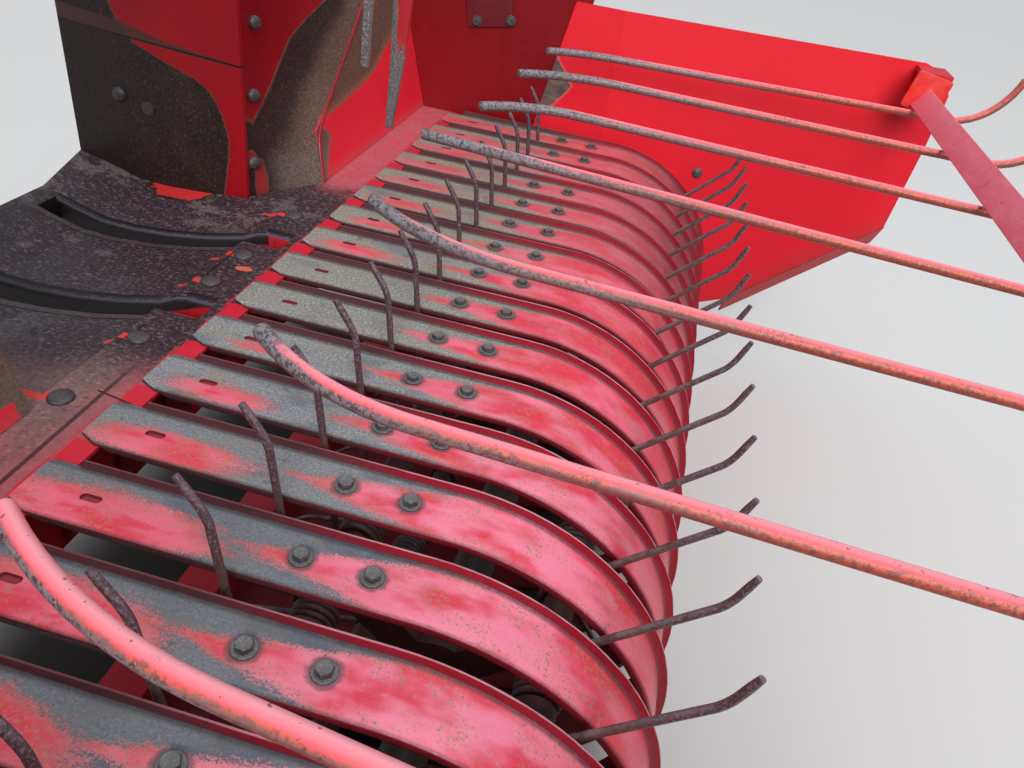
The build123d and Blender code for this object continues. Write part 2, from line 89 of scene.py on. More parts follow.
scene = bpy.context.scene
scene.view_settings.view_transform = "Standard"
camera = linked("camera", bpy.data.cameras.new("camera"))
camera.matrix_world = (Matrix.Translation(at(167.1, -637.2, 415.7)) @ Matrix(
        (CAMERA_RIGHT, -CAMERA_DOWN, -CAMERA_AHEAD)).transposed().to_4x4())
camera.data.sensor_width = FILM_MM
camera.data.lens = FILM_MM * FOCAL_PIXELS / WIDE_PIXELS
camera.data.clip_start = 0.01
scene.camera = camera


# ---- node trees
def sum_of(operation, swapped=False):
    """A method that puts its values into one Math node."""
    def method(self, *others):
        return self.nodes.sum(operation, *((*others, self) if swapped else (self, *others)))
    return method


class Value:
    """A number that varies over a surface; sums on it become Math nodes."""

    def __init__(self, nodes, socket):
        self.nodes = nodes
        self.socket = socket

    __add__, __radd__ = sum_of("ADD"), sum_of("ADD", True)
    __sub__, __rsub__ = sum_of("SUBTRACT"), sum_of("SUBTRACT", True)
    __mul__, __rmul__ = sum_of("MULTIPLY"), sum_of("MULTIPLY", True)
    __truediv__, __abs__ = sum_of("DIVIDE"), sum_of("ABSOLUTE")
    least, most, root, rounded = sum_of("MINIMUM"), sum_of("MAXIMUM"), sum_of("SQRT"), sum_of("ROUND")

    def from_zero(self, other):
        """Distance from 0, 0 of the place that the two numbers give."""
        return (self * self + other * other).root()

    def step(self, low, high):
        """0 at low, 1 at high, smooth between; low may be the larger."""
        return self.nodes.value("ShaderNodeMapRange", {"interpolation_type": "SMOOTHSTEP"},
            {"Value": self, "From Min": low, "From Max": high})

    def bend(self, points):
        """Follows a line of (place, value) points."""
        places, values = zip(*points)
        low, high = min(places), max(places)
        base, span = min(values), max(values) - min(values)
        node = self.nodes.add("ShaderNodeFloatCurve", None, {"Value": (self - low) / (high - low)})
        curve = node.mapping.curves[0]
        bends = sorted(((p - low) / (high - low), (v - base) / span) for p, v in points)
        for bend in bends[2:]:
            curve.points.new(*bend)
        for point, bend in zip(curve.points, bends):
            point.location = bend
            point.handle_type = "VECTOR"
        node.mapping.update()
        return Value(self.nodes, node.outputs[0]) * span + base


class Nodes:
    """A node tree that grows node by node."""

    def __init__(self, tree):
        self.tree = tree

    def add(self, kind, settings=None, inputs=None):
        """A node: its type, its settings, then a value, colour code or link for each of its sockets."""
        node = self.tree.nodes.new(kind)
        for key, setting in (settings or {}).items():
            setattr(node, key, setting)
        for key, source in (inputs or {}).items():
            source = source.socket if isinstance(source, Value) else source
            if isinstance(source, bpy.types.NodeSocket):
                self.tree.links.new(source, node.inputs[key])
            else:
                node.inputs[key].default_value = rgb(source) if isinstance(source, str) else source
        return node

    def value(self, *node):
        return Value(self, self.add(*node).outputs[0])

    def sum(self, operation, *values):
        return self.value("ShaderNodeMath", {"operation": operation}, dict(enumerate(values)))

    def split(self, vector):
        return [Value(self, s) for s in self.add("ShaderNodeSeparateXYZ", None, {0: vector}).outputs]

    def mix(self, share, first, second):
        """Colour that goes from first to second as share goes from 0 to 1."""
        return self.add("ShaderNodeMix", {"data_type": "RGBA"}, {0: share, 6: first, 7: second}).outputs[2]


class Finish(Nodes):
    """One paint or metal finish. x, y and z are mm on the piece itself."""

    def __init__(self, name):
        self.material = bpy.data.materials.new(name)
        self.material.use_nodes = True
        super().__init__(self.material.node_tree)
        self.tree.nodes.clear()
        texture = self.add("ShaderNodeTexCoord").outputs
        moved = self.add("ShaderNodeVectorMath", {"operation": "SUBTRACT"}, {0: texture["Object"], 1: (OX, 0, OZ)})
        self.place = self.add(
            "ShaderNodeVectorMath", {"operation": "SCALE"}, {0: moved.outputs[0], "Scale": 1000}).outputs[0]
        self.x, self.y, self.z = self.split(self.place)
        self.ahead, self.left, self.up = self.split(texture["Normal"])

    def cloud(self, size, stretch=(1, 1, 1), detail=3.0, rough=0.55, shift=0.0, twist=0.0):
        """Soft noise around 0, about -1 to 1, with spots of the given size in mm."""
        spot = self.add("ShaderNodeMapping", {"vector_type": "POINT"},
            {"Vector": self.place, "Location": (shift, shift * 0.7, -shift),
                "Scale": tuple(1 / (size * s) for s in stretch)})
        noise = self.value("ShaderNodeTexNoise", None,
            {"Vector": spot.outputs[0], "Scale": 1.0, "Detail": detail, "Roughness": rough, "Distortion": twist})
        return (noise - 0.5) * 3.2

    def specks(self, size, share, stretch=(1, 1, 1), shift=0.0):
        """1 on small ragged specks: share near 0 gives few, near 1 many."""
        return self.cloud(size, stretch, 2.0, 0.6, shift).step(1.15 - 1.3 * share, 1.35 - 1.3 * share)

    def layers(self, colour, *coats):
        """Coats over a base colour, the last on top. A coat is (share, colour), or (field, low, high, strength,
        colour), where the share grows from 0 to the strength as the field goes from low to high."""
        for coat in coats:
            share = coat[0] if len(coat) == 2 else coat[0].step(*coat[1:3]) * coat[3]
            colour = self.mix(share, colour, coat[-1])
        return colour

    def speckled(self, grain, dark, pale, low=-0.6, high=0.6):
        """Two colours, parted by a fine grain."""
        return self.mix(grain.step(low, high), dark, pale)

    def spot(self, y_mid, z_mid, y_half, z_half, across=None, up=None):
        """About 1 at the middle of an oval, 0 at its edge, less outside; in the units of its short side."""
        a = ((self.y if across is None else across) - y_mid) / y_half
        b = ((self.z if up is None else up) - z_mid) / z_half
        return 1 - a.from_zero(b)

    def done(self, colour, rough, relief=None, metal=0.0, specular=0.5):
        """Closes the finish; relief is a height in mm."""
        inputs = {"Base Color": colour, "Roughness": rough, "Metallic": metal, "Specular IOR Level": specular}
        if relief is not None:
            bump = self.add("ShaderNodeBump", None, {"Height": relief, "Distance": 0.001, "Strength": 1.0})
            inputs["Normal"] = bump.outputs[0]
        shader = self.add("ShaderNodeBsdfPrincipled", None, inputs)
        self.add("ShaderNodeOutputMaterial", None, {"Surface": shader.outputs[0]})
        return self.material


# ---- finishes
def band_paint():
    """Band tops: paint left at the front, rubbed to a blue-grey steel skin towards the tips."""
    f = Finish("band_paint_rubbed_by_hay")
    past = (f.x - NOSE_X).most(0)
    rise = f.z - NOSE_Z
    out = past.from_zero(rise) - NOSE_R
    along = f.x.least(NOSE_X) + f.sum("ARCTAN2", past, rise) * NOSE_R
    number = (f.y / PITCH).rounded()
    across = f.y - number * PITCH
    # how much paint each band keeps round its slot, and how far back its front paint reaches
    keeps = number.bend(
        [(-9, 1.6), (-8, 1.5), (-7, 1.6), (-6, 1.7), (-5, 1.7), (-4, 1.55), (-3, 1.15), (-2, 0.8), (-1, 0.42),
            (0, -1), (1, -0.6), (2, 0.85), (3, 0.7), (4, 0.9), (5, 0.9), (6, 1.1), (7, 1.1), (8, 1.3), (9, 1.5)])
    streaks = f.cloud(46, (1, 0.24, 1), 4, 0.6)
    ragged = f.cloud(7, (1.6, 0.8, 1), 4, 0.7, 3.1)
    fine = f.cloud(1.5, detail=2)
    chips = f.cloud(3.2, (1.5, 1, 1), 4, 0.7, 8)
    chalk = f.cloud(70, (1, 0.5, 1), 3, shift=2)
    patches = f.cloud(24, (1.4, 0.6, 1), 3, shift=9)
    front = (along + 46) / 4.6 - abs(across + 1.5) - across.most(0) * 0.35 + number.bend(
        [(-9, 3), (-4, 1), (0, 0), (4, 1), (6, 6), (9, 14)])
    slot = keeps * 14 - ((f.x + 140) / 4).from_zero((across + 11) * 0.95)
    cover = front.most(slot) + streaks * 5 + ragged * 2.6
    paint = (cover + fine * 6 + chips * 3.4).step(-2.6, 3.4)
    fringe = cover.step(9, 1) * paint
    grit = f.cloud(2.6, rough=0.75, shift=12)
    bold = number.step(-3, 0) * 0.35 + 0.55
    blots = f.cloud(15, (1.3, 0.8, 1), 4, 0.65, 21)
    from_bolt = (abs(f.x - BOLT_GAP / 2) - BOLT_GAP / 2).from_zero(across)
    steel = f.layers("8c8880", (number, 0.5, -1.5, 0.8, "86888e"), (number, 1.5, 5, 0.6, "988872"),
        (grit, 0, 0.5, bold, "b8b6a8"), (grit, -0.1, -0.5, bold, "605c5a"), (fine, 0.25, 0.7, 0.6, "cecec6"),
        (fine, -0.2, -0.6, 0.7, "464242"), (chalk, 0, 0.5, 0.5, "5c6672"), (patches, 0.1, 0.5, 0.45, "948466"),
        (blots, 0.35, 0.6, 0.5, "44444a"), (number, -1.5, -4.5, 0.6, "5c626a"),
        (number.step(0, -3) * chalk.step(0, 0.7) * 0.5, "4e5662"))
    clusters = f.cloud(30, (1.3, 0.7, 1), 3, shift=15).step(-0.2, 0.2)
    tan = grit.step(-0.05, 0.3) * clusters.most(fringe * 0.8) * chips.step(-0.4, 0.2)
    # In the red, the pale pink on the fronts of the near bands is a painted reflection, and the darker red where the
    # nose turns under is painted shade.
    red = f.layers("de3e50", (chalk, -0.3, 0.5, 0.8, "ee7488"),
        (patches.step(0.05, 0.45) * 0.7 * along.step(260, 90), "de2a3a"),
        (number.step(1, -2.5) * along.step(-60, 60) * chalk.step(-0.4, 0.3) * 0.7, "fa8eaa"),
        (chips, 0.1, 0.8, 0.35, "f0a0a4"), (number, 1.5, 5.5, 0.5, "c2686c"), (along, 150, 300, 0.7, "d62c3c"),
        (along, 330, 470, 0.65, "8a1828"), (number.step(2, 6) * along.step(70, 240) * 0.75, "703e42"))
    spots = f.specks(5.5, 0.46, shift=17) * clusters * paint
    top = f.layers(steel, (paint, red), (spots * 0.55, f.speckled(grit, "926054", "c49c84", -0.2, 0.3)),
        (fringe * 0.35, "c48078"), (tan * paint * 0.85, "b28a72"),
        (f.specks(3.6, 0.12, shift=23) * paint * 0.8, "eed0ce"),
        (grit.step(0.3, 0.5) * tan * paint * 0.8, "604842"), (fine.step(-0.5, -0.8) * paint * 0.6, "6e3c3e"),
        # The dark ring round each bolt is grime with a painted contact shadow; the dark strip at the root of the far
        # lip is painted shade in the bend.
        (from_bolt + ragged * 2.4, 13, 9.5, 0.7, "4c4c4e"),
        ((across - 18.5).step(0, 3.6) * (0.75 + chips * 0.3) * out.step(-0.6, 0.2), "463e44"),
        ((-21.5 - across).step(0, 2.6) * (0.55 + chips * 0.4), "3e3032"))
    # lip sides above the face, flange and underside below it. Their dark reds, darker still at the lip's root, and the
    # near-black underside are painted shade; the pale line on the lip top is rubbed paint with a painted highlight.
    lip_rub = f.cloud(9, (4, 1, 1), 3, shift=3)
    rear = along.step(60, -50)
    lip = f.layers("961024", (lip_rub, 0, 0.8, 0.5, "621622"), (rear * 0.85, "443034"),
        (out + lip_rub * 0.5, 2.4, 0.4, 0.7, "422e32"),
        (out + lip_rub * 0.6, 7.3, 7.8, 0.75, f.mix(rear.most(number.step(1, 4)), "cc8e9a", "6e4246")))
    flange = f.layers(
        "7a1422", (rear * 0.8, "382a2c"), (lip_rub, 0.3, 0.9, 0.4, "542428"), (out, -4.6, -6, 0.8, "1e1214"))
    slot_wall = out.step(-0.3, -0.8) * abs(across).step(5.5, 5) * abs(f.x - SLOT_X).step(11, 10)
    colour = f.layers(top, (out.step(0.7, 1.3), lip), (out.step(-0.7, -1.3), flange), (slot_wall, "782832"))
    rough = 0.56 - paint * 0.17 + chips * 0.05 + fringe * 0.1
    relief = fine * 0.05 + chips * 0.06 + paint * 0.1 + chalk * 0.05
    return f.done(colour, rough, relief, specular=0.45)


def sheet_paint(name, base, shade, pale, dusty=0, gloss=0.42):
    """Red sheet: nearly even paint with faint clouds, thin scratches and a little dust."""
    f = Finish(name)
    clouds = f.cloud(160)
    small = f.cloud(22, detail=4, shift=4)
    scratch = f.cloud(14, (9, 3, 0.22), 2, shift=2, twist=0.4).step(0.95, 1.15)
    cross = f.cloud(11, (0.3, 9, 2.5), 2, shift=6).step(1, 1.2)
    dust = f.cloud(4, shift=7).step(0.5, 1.3)
    colour = f.layers(base, (clouds, -0.9, 0.9, 0.55, shade), (small, 0.3, 1.1, 0.22, pale), (scratch * 0.35, pale),
        (cross * 0.3, shade), (dust * (0.1 + dusty), "b08274"), (f.specks(3, 0.06, shift=3) * 0.8, "482c2a"))
    return f.done(colour, gloss + small * 0.05 + scratch * 0.15, clouds * 0.5 + small * 0.05 + dust * 0.02)


def side_sheet_paint():
    """Flared sheet: red, lighter higher up and darker lower down as painted light and shade, with the worn grey corner
    at its rear edge and dirt along its lower edge.
    """
    f = Finish("side_sheet_red")
    clouds = f.cloud(210)
    small = f.cloud(22, detail=4, shift=4)
    scratch = f.cloud(16, (8, 8, 0.16), 2, shift=2, twist=0.5).step(0.95, 1.15)
    sweep = f.cloud(16, (6, 6, 0.5), 2, shift=8, twist=0.8).step(1, 1.25)
    ragged = f.cloud(9, detail=4, shift=1)
    corner = (
        119 - (f.x + 36) * 1.26 - f.z).least(f.z - 48 - (f.x + 29) * 1.33).least(f.z - 41) * 0.6 + ragged * 2.4
    hem = f.up.step(0.15, 0.3) * f.z.step(-60, -80)
    bare = corner.step(-0.5, 1) * f.x.step(0, -4)
    low = ((f.z + 266) - (f.x - 340) * 0.74 + ragged * 8).step(48, 0) * f.x.step(180, 320)
    # lighter higher up and darker lower down: painted light and painted shade
    colour = f.layers("f21e32", (clouds, -0.9, 0.9, 0.5, "d81226"), (f.z, -60, 180, 0.35, "ec363e"),
        (small, 0.3, 1.1, 0.14, "f05458"), (scratch * 0.3, "f06c6c"), (sweep * 0.4, "b41222"),
        (low * 0.35, "b03e3e"), (f.z, -60, -300, 0.4, "b01622"),
        (hem * 0.85, f.speckled(small, "5c0e18", "86222a", -0.4, 0.6)),
        (f.specks(2.4, 0.12, shift=5) * hem * 0.6, "c4827e"),
        (corner.step(-5, -0.5) * f.x.step(0, -4) * 0.6, "d87878"),
        (bare, f.mix((f.cloud(26, (1, 1, 0.5), 3, shift=11) + small * 0.3).step(-0.7, 0.8), "544c48", "847068")),
        (f.specks(3, 0.05, shift=3) * 0.8, "502c2a"))
    return f.done(
        colour, 0.5 + small * 0.05 + scratch * 0.15 + bare * 0.1, clouds * 0.9 + small * 0.05, specular=0.3)


def near_red(f, ragged):
    """Red left low down on the near side, behind the rubbed throat edge."""
    return ((12 - f.z).least(-243 - f.y) + ragged * 2.4).step(-0.6, 0.8)


def worn(name, rag):
    """Steel that hay slides along: speckle over soft brown clouds, darkened as painted shade for the throat, and ragged
    noise for the edges of the paint left.
    """
    f = Finish(name)
    grain = f.cloud(2.6, rough=0.75)
    soft = f.cloud(42, detail=4, shift=3)
    brown = f.layers(
        "271715", (soft, 0, 0.9, 0.35, "503a32"), (soft, 0, -0.8, 0.6, "1c100f"), (grain, 0.1, 0.6, 0.4, "7c6454"),
        (grain, -0.1, -0.6, 0.6, "180e0d"))
    return f, grain, soft, brown, f.cloud(rag, detail=4, shift=5)


def throat_finish():
    """Throat plates: brown where hay rubs, red left along the front edge, a lapped seam above; the dark red and the
    darkening towards the rear are painted shade.
    """
    f, grain, soft, brown, ragged = worn("throat_plate_worn", 5)
    edge = f.z.bend(
        [(-40, -352), (-2, -345), (34, -338), (60, -335), (72, -337), (88, -341), (103, -347), (117, -356),
            (128, -375), (138, -408), (153, -448), (175, -466), (260, -500), (360, -530)])
    red_part = (f.x - edge) + ragged * 1.6
    far = f.y.step(0, 20)
    kept = (red_part.step(-0.7, 0.7) * far).most((f.left * f.y).step(60, 100))
    seam = f.x.bend([(-543, 164), (-524, 162), (-436, 157), (-324, 151)])
    above = f.z - seam
    sliver = above.step(-0.5, 0.5) * (
        f.z - f.x.bend([(-543, 182), (-466, 175), (-410, 162), (-326, 153)])).step(0.8, -0.8)
    # dark red: the machine's red darkened as painted shade
    red = f.layers("980614", (f.cloud(60), -0.7, 0.9, 0.6, "b00c1c"),
        (f.cloud(6, shift=2), 0.5, 1.2, 0.4, "7c1e22"))
    line = abs(above).step(1.6, 0.6)
    # darker towards the rear: painted shade deep in the throat
    colour = f.layers(
        brown, (f.x, -430, -530, 0.6, "1e1212"), ((1 - far) * 0.7, f.speckled(grain, "5c4e44", "8e7c70")),
        (kept, red), (red_part.step(-3.2, -0.6) * (1 - kept) * 0.65 * far, "8c463e"), (sliver * 0.9, "462c28"),
        (line * 0.9 * far, "1e080a"))
    return f.done(colour, 0.55 - kept * 0.12 + grain * 0.05, grain * 0.04 + kept * 0.1 + soft * 0.08 - line * 0.8,
        specular=0.35)


def funnel_finish():
    """Funnel panels: brown, with red left in a wedge beside the throat plate and a halo at the lowest bolt; the dark
    red and the darker brown low beside the throat plate are painted shade, the lighter brown towards the seam a painted
    highlight.
    """
    f, grain, soft, brown, ragged = worn("funnel_worn", 6)
    right_edge = f.z.bend(
        [(60, 215), (85, 237), (100, 259), (111, 275), (134, 308), (159, 348), (174, 396), (189, 453),
            (205, 520), (330, 900)])
    wedge = ((right_edge - f.y) * 0.7).least((f.z - 85 + (f.y - 237) * 0.76) * 0.8) + ragged * 1.6
    halo = f.spot(227, 40, 8, 10).most(f.spot(239, 8, 7, 27)) * 9 + ragged * 1.6
    field = wedge.most(halo)
    kept = (field.step(-0.6, 0.7) * f.y.step(200, 215)).most(f.ahead.step(0.1, -0.1))
    # dark red: the machine's red darkened as painted shade, as on the throat plates
    red = f.layers("940412", (f.cloud(50), -0.7, 0.9, 0.6, "80020e"), (f.z, 70, 20, 0.7, "963434"))
    near = f.y.step(0, -20)
    edge_dust = (wedge.step(-7, -0.5) * 0.75).most(halo.step(-3, -0.5) * 0.6) * (1 - kept) * f.y.step(200, 215)
    # lighter brown towards the seam: painted highlight on the rolled sheet
    seam_side = (
        f.y - f.z.bend([(0, 250), (60, 262), (110, 330), (160, 430), (230, 560), (330, 700)]) + soft * 8).step(0, 50)
    # darker low beside the throat plate: painted shade
    colour = f.layers(brown, (f.y.step(262, 236) * f.z.step(120, 60) * 0.45, "2a1a1a"),
        (seam_side * 0.6, f.speckled(grain, "5a382e", "866858", -0.5, 0.6)),
        ((f.z + soft * 10).step(60, 24) * f.y.step(240, 270) * 0.55, f.speckled(grain, "5c504c", "847670")),
        (near * 0.8, f.speckled(grain, "5c4e46", "8e7e74")), (kept, red), (edge_dust, "8a4a44"),
        (near_red(f, ragged), "c41220"))
    return f.done(colour, 0.56 - kept * 0.14 + grain * 0.05, grain * 0.04 + kept * 0.1 + soft * 0.1, specular=0.35)


def back_wall_finish():
    """Back walls: red, darkening higher up as painted shade, with a brown rubbed wedge beside the funnel."""
    f, grain, soft, brown, ragged = worn("back_wall_red", 8)
    side = abs(f.y)
    under = side.bend([(323, 68), (357, 68), (474, 79), (528, 87), (622, 119), (673, 136), (720, 160)]) - f.z
    beside = side - f.z.bend([(-10, 320), (8, 323), (45, 354), (56, 344), (62, 336), (68, 334)])
    field = under.least(beside) + ragged * 2.2
    kept = field.step(-0.8, 0.8).most(near_red(f, ragged)).most(f.ahead.step(0.1, -0.1))
    # darker red higher up: painted shade
    red = f.layers("ee283c", (f.cloud(90), -0.7, 0.9, 0.5, "de182e"), (f.z, 90, 200, 0.75, "8c0c18"),
        (f.cloud(6, shift=2), 0.6, 1.2, 0.3, "aa2430"), (f.specks(3.4, 0.10, shift=6), "46141a"),
        (f.z, 16, -4, 0.5, "be545a"))
    rubbed = f.layers(brown, (0.6, f.speckled(grain, "5c4034", "90725c", -0.5, 0.5)), (f.z, 60, 20, 0.4, "786c64"))
    colour = f.layers(rubbed, (kept, red), (field.step(-14, -0.5) * (1 - kept) * 0.5, "aa6854"))
    return f.done(colour, 0.55 - kept * 0.14 + grain * 0.05, grain * 0.04 + kept * 0.1 + soft * 0.1)


def floor_finish():
    """Feed floor: dark polished steel, red-brown near, dusty pink far, and red in the gaps at the band tips."""
    f = Finish("feed_floor_polished")
    grain = f.cloud(4.5, detail=4, rough=0.75)
    soft = f.cloud(60, (1.4, 0.8, 1), 4, shift=3)
    wet = f.cloud(16, (1.2, 0.9, 1), 4, 0.65, 6)
    ragged = f.cloud(8, detail=4, shift=5)
    number = (f.y / PITCH).rounded()
    across = abs(f.y - number * PITCH)
    # red left beside the band tips and along a thin line behind them
    gap = ((f.x + 207) * 0.9).least(across - 21.5 + (f.x + 205).most(0) * 0.1).most(
        0.7 - abs(f.x + 208.5) + f.cloud(40, (3, 1, 1), 2, shift=1) * 1.4) + ragged * 0.8
    far = (f.y + soft * 26 + ragged * 7).step(262, 330) * f.x.step(-262, -258)
    near = (f.y + soft * 16).step(-120, -190)
    streak = (f.cloud(9, (2.6, 0.8, 1), 3, shift=9)).step(0.55, 0.9)
    bolts = reduce(Value.most, [f.spot(y - 2, x - 16, 5.5, 24, up=f.x) for x, y in FLOOR_BOLTS])
    worn_red = (bolts * 9 + ragged * 3.4).step(0.4, 1.6)
    # The pale glint specks are painted highlights; the dark ones are dark specks in the steel.
    glints = f.cloud(3.8, (1.3, 0.85, 1), 4, 0.8, 2)
    dry = (soft + wet * 0.4).step(0.2, 0.34)
    dark = f.layers("3a2a2e", (wet, -0.1, 0.9, 0.6, "281c20"), (grain, 0.1, 0.9, 0.5, "56444a"),
        (dry * f.x.step(-300, -440) * 0.8, "62565a"), (f.y.step(110, 180) * dry * 0.7, "685a58"),
        (glints, 0.1, 0.45, 0.7, "8c7a80"), (glints, -0.1, -0.5, 0.75, "140c0e"))
    pink = f.layers("c84e5c", (wet, -0.1, 0.5, 0.6, "ac7470"), (ragged, 0.1, 0.6, 0.6, "887870"),
        (glints, 0.1, 0.6, 0.4, "d69696"), (glints, -0.15, -0.6, 0.5, "80343c"))
    near_brown = f.layers("785856", (soft, -0.5, 0.7, 0.6, "96706c"), (grain, 0.05, 0.5, 0.5, "b0968c"),
        (glints, 0, -0.5, 0.7, "422e30"), (f.x + ragged * 9 + soft * 14, -240, -208, 0.6, "be545c"),
        (f.y.step(-215, -300) * grain.step(-0.5, 0.4) * 0.6, "b25c64"))
    rims = (f.y - 98).step(-4.5, -3.5) * (f.y - 98).step(5, 4)
    rims = rims.most((f.y + 67).step(-4.5, -3.5) * (f.y + 67).step(5, 4)) * f.x.step(-258, -262)
    patch = (f.spot(-404, 212, 38, 17, f.x, f.y) * 17 + ragged * 5).least((f.y - 188) * 0.8)
    colour = f.layers(dark, (near * 0.9, near_brown), (rims * 0.55, "56464a"), (far, pink),
        (f.y.step(240, 300) * (1 - far) * streak * 0.8 * f.x.step(-262, -258), "cc745c"),
        (near * streak * 0.5, "ce6854"), (patch, -5, -2, 0.8, "1a1012"), (patch.step(-1, 1), "d02c2e"),
        (worn_red, "d23e3a"),
        ((f.spot(-230, 46, 12, 6, f.x, f.y) * 6 + ragged * 3).step(0.5, 1.5), "d4604a"),
        (gap.step(-0.4, 0.8), f.layers("cc1e32", (soft, 0, 0.9, 0.5, "d84c5c"), (f.z, -8, -20, 0.7, "780a18"))))
    seams = abs(f.y - 94).step(1, 0.4).most(
        abs(f.y + 71).step(1, 0.4)) * f.x.step(-256, -262) * f.x.step(-526, -520)
    seams = seams.most(abs((f.x + 222) + (f.y + 245) * 0.02).step(2.4, 1.2) * near * 0.8)
    for (ax, ay), (bx, by) in (((-257, 77), (-256, 18)), ((-253, -88), (-257, -127)), ((-257, 150), (-220, 169)),
        ((-255, -19), (-221, -6)), ((-229, -191), (-195, -197))):
        length = hypot(bx - ax, by - ay)
        ux, uy = (bx - ax) / length, (by - ay) / length
        run = (f.x - ax) * ux + (f.y - ay) * uy
        off = abs((f.y - ay) * ux - (f.x - ax) * uy)
        line = off.step(1.2, 0.4) * run.step(-1, 1) * run.step(length + 1, length - 1)
        seams = seams.most(line)
    colour = f.mix(seams * 0.95, colour, "0e0808")
    return f.done(colour, 0.44 + soft * 0.08 + grain * 0.06 + far * 0.15 + near * 0.15,
        grain * 0.07 + glints * 0.09 + wet * 0.05 - seams * 0.8, specular=0.4)


def lip_steel():
    """Turned-down edges beside the finger slots: dark, polished, with a painted highlight along the top of the roll,
    red at their front end.
    """
    f = Finish("slot_edge_polished")
    grain = f.cloud(3, (3, 1, 1), 3)
    dents = f.cloud(14, (1, 1, 1), 2, shift=2)
    front = ((f.x + 288) * 0.42 - (f.z + 33) + dents * 2).step(-1.5, 1.5) * f.z.step(-6.5, -9)
    streak = f.cloud(11, (1, 1, 12), 2, shift=5)
    # the polished roll: smoother, and a painted highlight where it faces up
    polish_and_highlight = f.up.step(0.2, 0.75) * f.up.step(0.99, 0.8)
    colour = f.layers(
        "1e1619", (grain, 0.2, 0.9, 0.5, "362b2f"), (dents, 0.3, 0.9, 0.5, "140e0f"), (polish_and_highlight * 0.5, "706c7a"),
        (streak.step(0.5, 0.8) * f.up.step(0.5, 0.1) * 0.6, "140e0f"), (front, "b61822"))
    return f.done(colour, 0.55 - polish_and_highlight * 0.22 + grain * 0.07, grain * 0.05 + dents * 0.25, specular=0.28)


def rod_finish():
    """Guard rods: faded red, chalky pink on top that is partly painted highlight, palest along the ridge as a painted
    highlight, orange-brown below, bare speckled steel at the tips.
    """
    f = Finish("guard_rod_faded_red")
    fine = f.cloud(2, rough=0.7)
    blotch = f.cloud(13, (1.6, 1, 1), 4, 0.65, 3)
    smudge = f.cloud(26, (1.5, 1, 1), 4, 0.6, 7)
    granite = f.cloud(3.2, rough=0.75, shift=5)
    # the rods in the middle are rubbed further along than the outer ones
    low = f.up + f.left * 0.55
    reach = f.y.bend(
        [(-760, 0), (-560, 10), (-440, 10), (-266, 80), (-105, 130), (-40, 135), (115, 130), (290, 165),
            (460, 195), (600, 195), (760, 200)])
    bare = (reach - f.x + smudge * 40 + blotch * 34 - low * 130).step(-30, 30).most(
        (f.x + 18 + blotch * 8).step(8, -8) * f.y.step(-390, -350))
    steel = f.layers("867e82", (granite, -0.05, 0.2, 0.9, "423a40"), (fine, 0.1, 0.6, 0.6, "aca4aa"),
        (granite, -0.35, -0.7, 0.6, "a0989e"), (f.up, 0.3, -0.6, 0.5, "604e4c"), (f.x, -20, 140, 0.3, "b0706c"))
    under = (low + blotch * 0.3).step(0.5, 0)
    # The chalky pink on top is sun-faded paint with a painted highlight, and the palest pink along the ridge is a
    # painted highlight.
    red = f.layers(
        "f05c64", (low, 0.3, 1, 0.7, "fa949e"), (low, 0.9, 1.15, 0.45, "fcb8c0"), (under * 0.8, "d06c4a"),
        (under * granite.step(-0.1, 0.25) * 0.8, "704c44"),
        ((low + smudge * 0.7 + blotch * 0.4).step(0.35, -0.25) * (f.x - 260 + smudge * 60).step(90, -90) * 0.75,
            "887070"),
        ((smudge - low * 0.25).step(0, 0.4) * granite.step(-0.05, 0.2) * 0.8, "745656"),
        (f.specks(3.4, 0.5, shift=2) * 0.8, "604646"), (low, -0.1, -0.6, 0.6, "8a342c"))
    colour = f.mix(bare, red, steel)
    return f.done(colour, 0.44 + fine * 0.06 + blotch * 0.04, fine * 0.05 + blotch * 0.05 - bare * 0.08)


def bar_finish():
    """Guard bar: sun-bleached pink red, lighter on top as a painted highlight, with grey rubs and rust along its edges.
    """
    f = Finish("guard_bar_bleached")
    fine = f.cloud(2.4)
    streak = f.cloud(16, (1, 4, 1), 4, 0.65, 3)
    scrape = f.cloud(9, (2.6, 0.32, 2.6), 3, 0.6, 5, 0.4)
    edge = f.cloud(14, (1, 1.6, 1), 4, 0.7, 8)
    # lighter pink on the top faces: painted highlight on the sun-bleached paint
    colour = f.layers("ee586c", (streak, -0.2, 0.7, 0.6, "f88092"), (f.up, 0.2, 0.9, 0.4, "f89eaa"),
        (fine, 0.3, 0.9, 0.25, "d49682"), (scrape.step(0.3, 0.5) * edge.step(-0.4, 0.2) * 0.85, "846c6e"),
        (edge, 0.5, 0.7, 0.8, "6e5856"),
        (abs(f.y).step(769, 769.7), f.speckled(streak, "e8282a", "ee483c", -0.5, 0.8)),
        (f.specks(4, 0.1, shift=2), "624642"), (f.up, -0.2, -0.9, 0.5, "b4543c"))
    return f.done(colour, 0.46 + fine * 0.05, fine * 0.04 + streak * 0.04)


